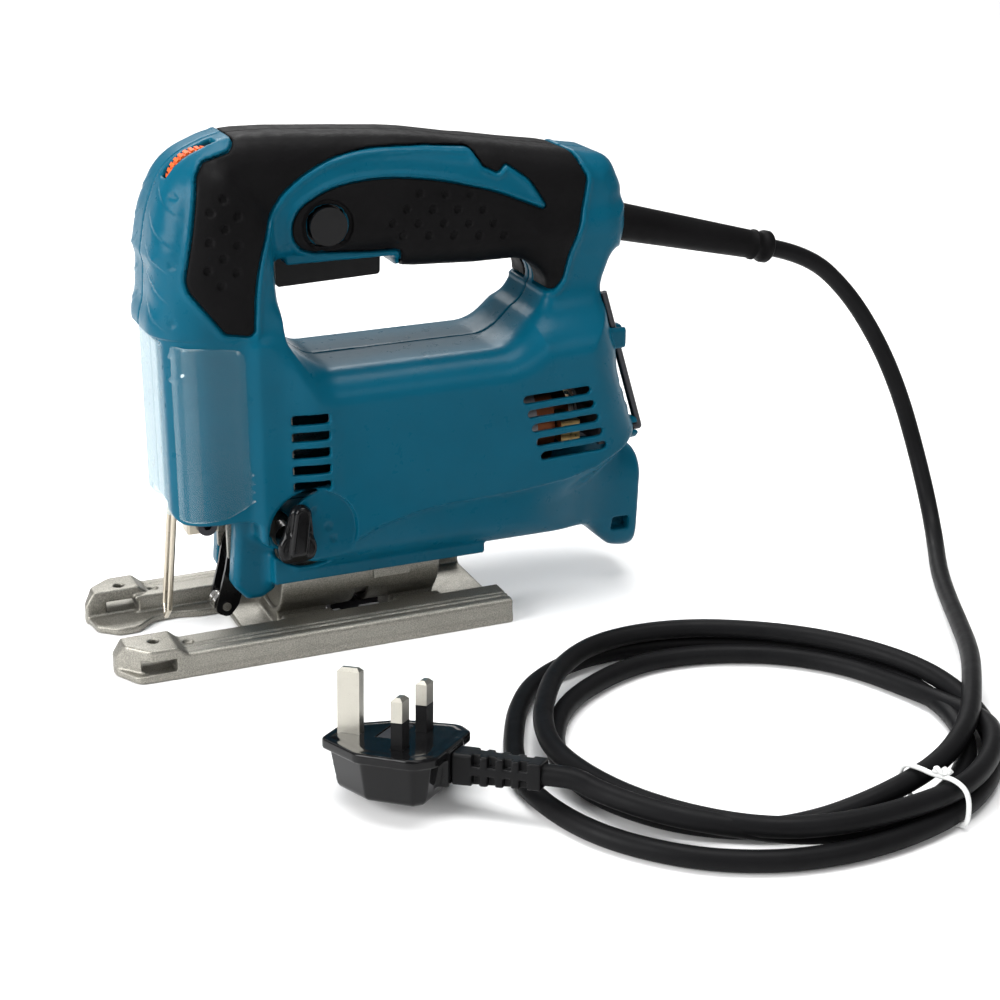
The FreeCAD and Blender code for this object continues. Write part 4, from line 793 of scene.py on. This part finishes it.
SOLE_PLAN = [
    (-111.5, -27, 4), (-105, -38.5, 4), (46.5, -38.5, 1.5), (46.5, 38.5, 1.5), (-105, 38.5, 4),
    (-111.5, 30, 4), (-109.5, 15, 4), (-102, 8.6, 4), (-94, 8.6, 6), (-86, 16.5, 8), (-76, 16.5, 4),
    (-68, 14.5, 4), (-57, 14.5, 3), (-57, -22.5, 3), (-86, -22.5, 3), (-92, -20, 4), (-111.5, -20, 4),
]
RAIL_SECTION = [(21.5, 0, 0.5), (38.5, 0, 0.5), (38.5, 9.2, 1.0), (36.8, 10, 0.8), (21.5, 10, 0.8)]
RAIL_GROOVES = (33.6, 30.6)
BLOCK_SIDE = [
    (-111.5, 0, 0.5), (-111.5, 7.5, 1.5), (-108, 13, 1.5), (-90, 13, 1.5), (-86, 9.6, 1), (-86, 0, 0.5),
]
BLOCKS = ((-38.5, -21.0, 26.0), (24.5, 38.5, 29.0))
SOLE_HOLES = ((-97, 29.0), (-83.5, 28.0))


def sole():
    """The die-cast sole: two grooved rails with end blocks, a thin plate between and the tilting trough."""
    grid = Lattice((-113, -40, -1), (48, 40, 28), 0.5)
    x, y, z = grid.x, grid.y, grid.z
    form = extruded(outline(SOLE_PLAN, x, y), np.abs(z - 1.5) - 1.5, 0.6)
    rail = outline(RAIL_SECTION, np.abs(y), z)
    for groove in RAIL_GROOVES:
        rail = cut(rail, np.hypot(np.abs(y) - groove, z - 10.2) - 0.75, 0.3)
    form = unite(form, extruded(rail, np.abs(x + 22.75) - 69.25, 0.5), 0.8)
    side_view = outline(BLOCK_SIDE, x, z)
    for low, high, corner in BLOCKS:
        end = extruded(side_view, np.abs(y - (low + high) / 2) - (high - low) / 2, 1.0)
        slope = ((x + 111.5) * (38.5 - corner) + (np.abs(y) - corner) * -11.5) / 17.0
        form = unite(form, meet(end, -slope, 1.5), 0.6)
    radius = np.hypot(y, z - TILT_Z)
    trough_r = TROUGH_R + TROUGH_WALL
    along = np.abs(x - TROUGH_MID_X) - (TROUGH_X[1] - TROUGH_X[0]) / 2
    trough = extruded(np.maximum(radius - TROUGH_R - TROUGH_WALL, z - 25.0), along, 0.5)
    form = unite(unite(form, trough, 0.8), block(grid, TROUGH_X, (-21.5, 21.5), (0, 10), 0.5), 0.8)
    form = cut(form, radius - TROUGH_R + 0 * x, 0.6)
    pocket = block(grid, (-103.5, -90.5), (-42, -35), (3.4, 11.4), 0.6)
    form = cut(form, np.maximum(pocket, (z - 7.8) + 1.1 * (y + 37.8)), 0.4)
    form = cut(form, block(grid, (-103.2, -90.8), (-50, 50), (3.8, 8.2), 0.4), 0.3)
    under = block(grid, (-23, 3), (-21.4, 21.4), (-2, 14), 0.5)
    form = cut(form, np.maximum(under, trough_r - radius))
    form = cut(form, block(grid, (-12.9, -7.1), (-18.3, 18.3), (-2, 18.5), 0.5), 0.4)
    swing = np.maximum(np.maximum(radius - SWING_R, trough_r - radius), np.abs(np.abs(y) - 18.0) - 6.0)
    form = cut(form, np.maximum(np.maximum(swing, 5.0 - z), np.abs(x + 3) - 45))
    for hole_x, hole_y in SOLE_HOLES:
        form = cut(form, np.maximum(np.hypot(x - hole_x, np.abs(y) - hole_y) - 2.0, 8.6 - z), 0.4)
    sculpt("sole_casting", form, grid, 0.22, cast, "base", "cast_aluminium", "base_plate")


LEVER_NECK = [(-7.4, -2, 1), (7.4, -2, 1), (3.6, 17.0, 3.4), (-3.6, 17.0, 3.4)]
LEVER_BAR = [(-3.4, -4.5, 3.3), (3.4, -4.5, 3.3), (3.1, 17.4, 3.0), (-3.1, 17.4, 3.0)]
LEVER_CHAMFER = 2.6


def orbit_lever():
    """The black pointer that sets the orbit: a domed hub with a raised finger bar.

    It is chamfered below, so that the sole clears it at its full tilt.
    """
    grid = Lattice((-12, -3, -12), (12, 17, 22), 0.4)
    x, y, z = grid.x, grid.y, grid.z
    hub = disc_y(grid, 0, 0, 4.7, (2.0, 16.2), 0.3)
    base = disc_y(grid, 0, 0, 7.6, (0.6, 4.6), 1.8)
    neck = extruded(outline(LEVER_NECK, x, z), np.abs(y - 3.2) - 1.4, 1.0)
    bar = extruded(outline(LEVER_BAR, x, z), np.abs(y - 1.6) - 2.6, 1.4)
    form = unite(unite(unite(hub, base, 0.6), neck, 0.6), bar, 1.0)
    drop = z * math.cos(LEVER_REST) + x * math.sin(LEVER_REST)
    form = meet(form, (-LEVER_CHAMFER - y - drop) * 0.7071, 0.5)
    vertices, faces = net(form, grid)
    turn = np.array(Matrix.Rotation(-LEVER_REST, 3, "Y"))
    vertices = vertices @ turn.T + np.array((LEVER_HUB[0], LEVER_FACE_Y, LEVER_HUB[1]))
    piece = make_mesh("orbit_lever_knob", vertices, faces)
    finish_piece(piece, gloss_black, "orbit_lever", "black_gloss", "orbit_lever")


def lathe(name, start, axis, profile, steps=64):
    """A turned piece: profile is (distance along the axis, radius) pairs from the start point."""
    axis = Vector(axis).normalized()
    side = axis.orthogonal().normalized()
    other = axis.cross(side)
    rings = []
    for along, radius in profile:
        for k in range(steps):
            turn = 2 * math.pi * k / steps
            out = side * math.cos(turn) + other * math.sin(turn)
            rings.append(Vector(start) + axis * along + out * radius)
    faces = []
    for row in range(len(profile) - 1):
        for k in range(steps):
            a, b = row * steps + k, row * steps + (k + 1) % steps
            faces.append((a, a + steps, b + steps, b))
    return make_mesh(name, np.array(rings), np.array(faces))


def cord_guard():
    """The bend relief where the lead leaves the handle: a tapering sleeve with a beaded end."""
    axis = GUARD_END - GUARD_START
    size = axis.length
    profile = [(-4, 0.01), (-4, 9.8), (-3.6, 10.2), (-0.4, 10.2), (0, 9.8), (0, 8.2), (1.0, 7.9)]
    for t in (0.1, 0.25, 0.4, 0.55, 0.7, 0.85):
        profile.append((size * t, GUARD_R[0] + (GUARD_R[1] - GUARD_R[0]) * t))
    profile += [(size - 8.6, 5.85), (size - 8.2, 6.35), (size - 7.4, 6.35), (size - 7.0, 5.85),
                (size - 4.4, 5.75), (size - 3.8, 6.5), (size - 3.0, 6.75), (size - 0.8, 6.7), (size, 6.1),
                (size, 3.7), (size - 6, 3.7), (size - 6, 0.01)]
    sleeve = lathe("cord_sleeve", GUARD_START, axis, profile)
    finish_piece(sleeve, black_rubber, "housing", "rubber_black", "cord_guard")


# ---- plug ----
PLUG_AT = Vector((-40.4, -156.8, 21.3))
PLUG_TURN = math.radians(-42.0)
PLUG_TILT = math.radians(10.0)
PLUG_LIFT = math.radians(3.0)
RELIEF_X = (14.5, 46.0)
RELIEF_DROP = 7.0
PLUG_DEPTH = 17.8
PLUG_FACE = [
    (-29.5, -8.5, 4), (-12, -21, 6), (9, -22.5, 6), (15, -16, 4), (15, 16, 4), (9, 22.5, 6), (-12, 21, 6),
    (-29.5, 8.5, 4),
]
FUSE_BAY = ((-12.6, -5.4), (-2.1, 16.3), (-1.9, 2))
PIN_SEATS = ((-22.2, 0, 4.0, 2.0), (0, -11.1, 2.0, 3.2), (0, 11.1, 2.0, 3.2))


def plug_spots(vertices):
    """Points in the plug's own frame, carried to where it lies."""
    roll = Matrix.Rotation(-PLUG_TILT, 3, "X") @ Matrix.Rotation(-PLUG_LIFT, 3, "Y")
    turn = np.array(Matrix.Rotation(PLUG_TURN, 3, "Z") @ roll)
    return vertices @ turn.T + np.array(PLUG_AT)


def plug():
    """The moulded plug: a flanged pin face, a tapering body and the collar of the strain relief."""
    grid = Lattice((-32, -25, -20), (20, 25, 2), 0.45)
    x, y, z = grid.x, grid.y, grid.z
    rim = outline(PLUG_FACE, x, y)
    flange = extruded(rim, np.abs(z + 1.8) - 1.8, 0.7)
    inset = 2.6 + 2.6 * (np.clip(-z - 3.6, 0, 20) / 14.2)
    body = extruded(rim + inset, np.abs(z + PLUG_DEPTH / 2) - PLUG_DEPTH / 2, 2.4)
    collar = block(grid, (7, RELIEF_X[0] + 1), (-7.4, 7.4), (-RELIEF_DROP - 6.1, -RELIEF_DROP + 6.1), 1.2)
    form = unite(unite(flange, body, 1.2), collar, 1.5)
    form = cut(form, block(grid, *FUSE_BAY, 0.6))
    for px, py, hx, hy in PIN_SEATS:
        form = cut(form, block(grid, (px - hx, px + hx), (py - hy, py + hy), (-2.5, 3), 0.3))
    vertices, faces = net(form, grid)
    piece = make_mesh("plug_moulding", plug_spots(vertices), faces)
    finish_piece(piece, gloss_black, "housing", "black_gloss", "plug_body")
    grid = Lattice((10, -8, -15), (48, 8, 1), 0.4)
    x, y, z = grid.x, np.abs(grid.y), np.abs(grid.z + RELIEF_DROP)
    taper = 0.9 * ramp(x, 15, 46)
    bar = np.maximum(np.maximum(y, z) - (5.4 - taper), np.hypot(y, z) - (7.0 - taper))
    front, rear = RELIEF_X[0] + 1.2, RELIEF_X[1]
    bar = np.maximum(bar, np.abs(x - (front + rear) / 2) - (rear - front) / 2)
    for k in range(4):
        low = RELIEF_X[0] + 8.0 + 5.4 * k
        slot = np.maximum(np.abs(x - low - 1.35) - 1.3, 2.7 - y)
        bar = cut(bar, np.maximum(slot, 1.6 - z), 0.5)
    vertices, faces = net(bar, grid)
    relief = make_mesh("plug_relief", plug_spots(vertices), faces)
    finish_piece(relief, satin_black, "housing", "black_gloss", "plug_strain_relief")
    return piece, relief


# ---- cord ----
CORD_ROUTE = [  # in metres, from the guard to the coil
    (0.178, 0.0, 0.1322), (0.1974, 0.0, 0.1274), (0.217, -0.0015, 0.110), (0.232, -0.005, 0.087),
    (0.2415, -0.010, 0.064), (0.247, -0.017, 0.040), (0.248, -0.028, 0.019), (0.241, -0.046, 0.0065),
    (0.228, -0.068, 0.0042), (0.216, -0.092, 0.0039), (0.203, -0.118, 0.006), (0.1855, -0.151, 0.0098),
    (0.1668, -0.1785, 0.0121),
]
COIL_AT = (80.0, -164.0)
# Degrees about the coil's middle, radius, and the height of a strand that lies on others, from the saw's end.
COIL_LAY = [
    (333, 79.5, 12), (316, 74.5, 12), (302, 72, 11.5), (289, 70, 10.4), (276, 68.8, 8.3), (263, 68, 5.4),
    (248, 69), (225, 70.5), (200, 71), (178, 69.5), (155, 66), (131, 64.8), (101, 65), (80, 65),
    (63, 65.5), (46, 68), (26, 71.5), (6, 74.5), (-9, 80, 4.8), (-23, 86.5, 8.4), (-36, 87.5, 11),
    (-50, 87, 11), (-64, 85.5, 11), (-80, 82, 11), (-96, 81.5, 11), (-112, 81, 11), (-131, 77, 11),
    (-153, 74, 11), (-177, 73, 11), (-197, 71, 11), (-220, 70.5, 11), (-234, 73, 11), (-250, 76, 11),
    (-267, 75.5, 11), (-287, 73.5, 11), (-312, 72.5, 11), (-333, 75, 11), (-351, 80, 10.4),
    (-364, 84.5, 8.5), (-377, 88, 5), (-391, 88.5), (-407, 88), (-423, 87), (-440, 86), (-456, 87),
    (-472, 89), (-490, 90.5), (-511, 90.5), (-533, 87.5), (-549, 82.5), (-562, 80), (-576, 80.5),
    (-591, 82.5), (-606, 82), (-622, 79), (-642, 76.5), (-666, 76), (-690, 76.5), (-713, 78), (-733, 79.8),
    (-755, 79.6), (-777, 79), (-801, 77.5), (-822, 78, 6.2), (-840, 79.5, 10.4), (-857, 81.5, 12.6),
    (-873, 82.5, 14.4),
]


def nurbs(name, points, radius, cyclic=False):
    """A round tube along one smooth curve; points in metres."""
    curve = bpy.data.curves.new(name, "CURVE")
    curve.dimensions = "3D"
    curve.bevel_depth = radius
    curve.bevel_resolution = 6
    curve.resolution_u = 12
    curve.use_fill_caps = not cyclic
    spline = curve.splines.new("NURBS")
    spline.points.add(len(points) - 1)
    for spot, point in zip(spline.points, points):
        spot.co = (*point, 1)
    spline.order_u = 3
    spline.use_endpoint_u = not cyclic
    spline.use_cyclic_u = cyclic
    return placed(name, curve)


def coil_spot(angle, radius, height=CORD_D / 2):
    """A point of the coil, in metres."""
    turn = math.radians(angle)
    x, y = COIL_AT[0] + radius * math.cos(turn), COIL_AT[1] + radius * math.sin(turn)
    return x * MM, y * MM, height * MM


def cord():
    """The mains lead: from the guard, down to the floor, round the coil and into the plug."""
    points = list(CORD_ROUTE) + [coil_spot(*spot) for spot in COIL_LAY]
    for along in (57.0, 46.0, 38.0):
        points.append(tuple(plug_spots(np.array([(along, 0.0, -RELIEF_DROP)]))[0] * MM))
    lead = nurbs("mains_cord", points, CORD_D / 2 * MM)
    finish_piece(lead, cord_skin, "housing", "cord_rubber", "cord_run", "cord_coil")


TIE_ANGLE = -66.0
TIE_LOOP = [(65.4, 8.0), (66.0, 15.2), (72.0, 16.0), (78.5, 15.4), (86.0, 16.6), (91.6, 13.5), (92.2, 3.5),
            (90, 0.85), (84, 0.85), (77, 0.85), (71.5, 4.0)]


def tie():
    """The white twist tie: a loop round the coil's strands and two twisted ends."""
    loop = [coil_spot(TIE_ANGLE, r, z) for r, z in TIE_LOOP]
    band = nurbs("tie_loop", loop, 0.85 * MM, cyclic=True)
    finish_piece(band, white_tie, "housing", "tie_white", "cord_tie")
    for k, phase in enumerate((0.0, math.pi)):
        ends = []
        for step in range(8):
            turn = phase + step * 0.9
            reach = 0.8 if step < 5 else 0.8 + 0.4 * (step - 4)
            ends.append(coil_spot(TIE_ANGLE + math.degrees(reach * math.cos(turn) / 80), 78.0 + 0.8 * step,
                                  17.4 + 0.1 * step + reach * math.sin(turn)))
        tail = nurbs("tie_end_%d" % k, ends, 0.7 * MM)
        finish_piece(tail, white_tie, "housing", "tie_white")


shell_half(-1)
shell_half(1)
grip_side(-1)
grip_side(1)
dust_cover()
sole()
orbit_lever()
cord_guard()
plug_body, plug_relief = plug()
cord()
tie()

# ---- CAD parts that stay, with their own finishes (the copper's enamel tone darkened further as painted shade) and softened edges ----
KEPT = [
    (black_steel, 0.2, "housing_screws hex_key"),
    (ground_steel, 0, "pinion crank_gear brush_springs"),
    (ground_steel, 0.2, "gear_spindle armature_shaft orbit_cam"),
    (bright_steel, 0.2, "crank_pin crank_roller"),
    (cast, 0.3, "gear_housing tilt_saddle"),
    (bronze, 0.15, "slider_bushes"),
    (felt, 0.3, "felt_seal"),
    (bright_steel, 0.25, "slider_rod roller"),
    (zinc_steel, 0.35, "blade_clamp"),
    (black_steel, 0.25, "clamp_screw"),
    (lamination, 0, "rotor_core stator_core"),
    (copper, 0.6, "rotor_winding"),
    (copper, 0, "commutator"),
    (dark_plastic, 0.2, "fan carbon_brushes"),
    (copper, 0.8, "field_coils"),
    (bright_steel, 0, "front_bearing rear_bearing"),
    (dark_plastic, 0.3, "bearing_bracket fuse_carrier"),
    (brass, 0.15, "brush_holders"),
    (satin_black, 0.7, "trigger"),
    (dark_plastic, 0.4, "switch_body speed_controller"),
    (gloss_black, 0.7, "lock_button"),
    (orange, 0.12, "speed_dial"),
    (gloss_black, 0.35, "roller_arm"),
    (bright_steel, 0.3, "arm_pivot_pin roller_pin"),
    (zinc_steel, 0, "wire_guard"),
    (black_steel, 0.3, "base_clamp_plate base_clamp_bolt"),
    (cast, 0.1, "scale_plate"),
    (nickel, 0.25, "plug_pins"),
    (satin_black, 0.15, "pin_sleeves"),
]
for material, edge, nodes in KEPT:
    for part in [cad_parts[node] for node in nodes.split()]:
        for slot in part.material_slots:
            slot.material = material
        if edge:
            soft = part.modifiers.new("edges", "BEVEL")
            soft.width = edge * MM
            soft.segments = 3
            soft.limit_method = "ANGLE"
            soft.angle_limit = math.radians(32)

# ---- floor, light and camera ----
CAMERA_AT = Vector((-0.24840, -0.72770, 0.33640))
CAMERA_AIM = Vector((0.0569, 0.0, 0.0371))
CAMERA_LENS_MM = 73.7
FLOOR_Z = -0.0001


def floor():
    """A plain pale floor, just under the sole."""
    bpy.ops.mesh.primitive_plane_add(size=14.0, location=(0, 0, FLOOR_Z))
    plane = bpy.context.object
    plane.name = "floor"
    material, shader = new_material("floor_paint", (0.93, 0.93, 0.93), 0.55)
    vary_colour(material, shader, noise(material, 3.0), (0.925, 0.925, 0.925), (0.94, 0.94, 0.94))
    plane.data.materials.append(material)


def softbox(name, at, aim, size, power):
    """A rectangular light; its sides are in metres and its power in watts."""
    data = bpy.data.lights.new(name, "AREA")
    data.shape = "RECTANGLE"
    data.size, data.size_y = size
    data.energy = power
    lamp = placed(name, data)
    lamp.location = at
    lamp.rotation_euler = (Vector(aim) - Vector(at)).to_track_quat("-Z", "Y").to_euler()


floor()
softbox("overhead", (0.05, 0.05, 1.5), (0.0, 0.0, 0.1), (1.3, 0.8), 26)
softbox("left", (-1.5, -0.25, 0.75), (0.0, 0.0, 0.1), (0.9, 1.1), 36)
softbox("front", (0.3, -1.8, 1.2), (0.0, 0.0, 0.1), (1.4, 0.6), 8)
softbox("far_floor", (0.4, 3.6, 2.4), (0.4, 3.2, 0.0), (3.0, 2.0), 130)
world = bpy.data.worlds.new("studio")
world.use_nodes = True
world_nodes = world.node_tree.nodes
backdrop = world_nodes["Background"]
backdrop.inputs["Color"].default_value = (1, 1, 1, 1)
seen = world_nodes.new("ShaderNodeLightPath")
level = world_nodes.new("ShaderNodeMapRange")
level.inputs["To Min"].default_value = 0.30
level.inputs["To Max"].default_value = 1.0
world.node_tree.links.new(seen.outputs["Is Camera Ray"], level.inputs["Value"])
world.node_tree.links.new(level.outputs["Result"], backdrop.inputs["Strength"])
bpy.context.scene.world = world
bpy.context.scene.view_settings.view_transform = "Standard"

camera_data = bpy.data.cameras.new("camera")
camera_data.lens = CAMERA_LENS_MM
camera_data.sensor_width = 36.0
camera_data.clip_end = 30.0
camera = placed("camera", camera_data)
camera.location = CAMERA_AT
camera.rotation_euler = (CAMERA_AIM - CAMERA_AT).to_track_quat("-Z", "Y").to_euler()
bpy.context.scene.camera = camera
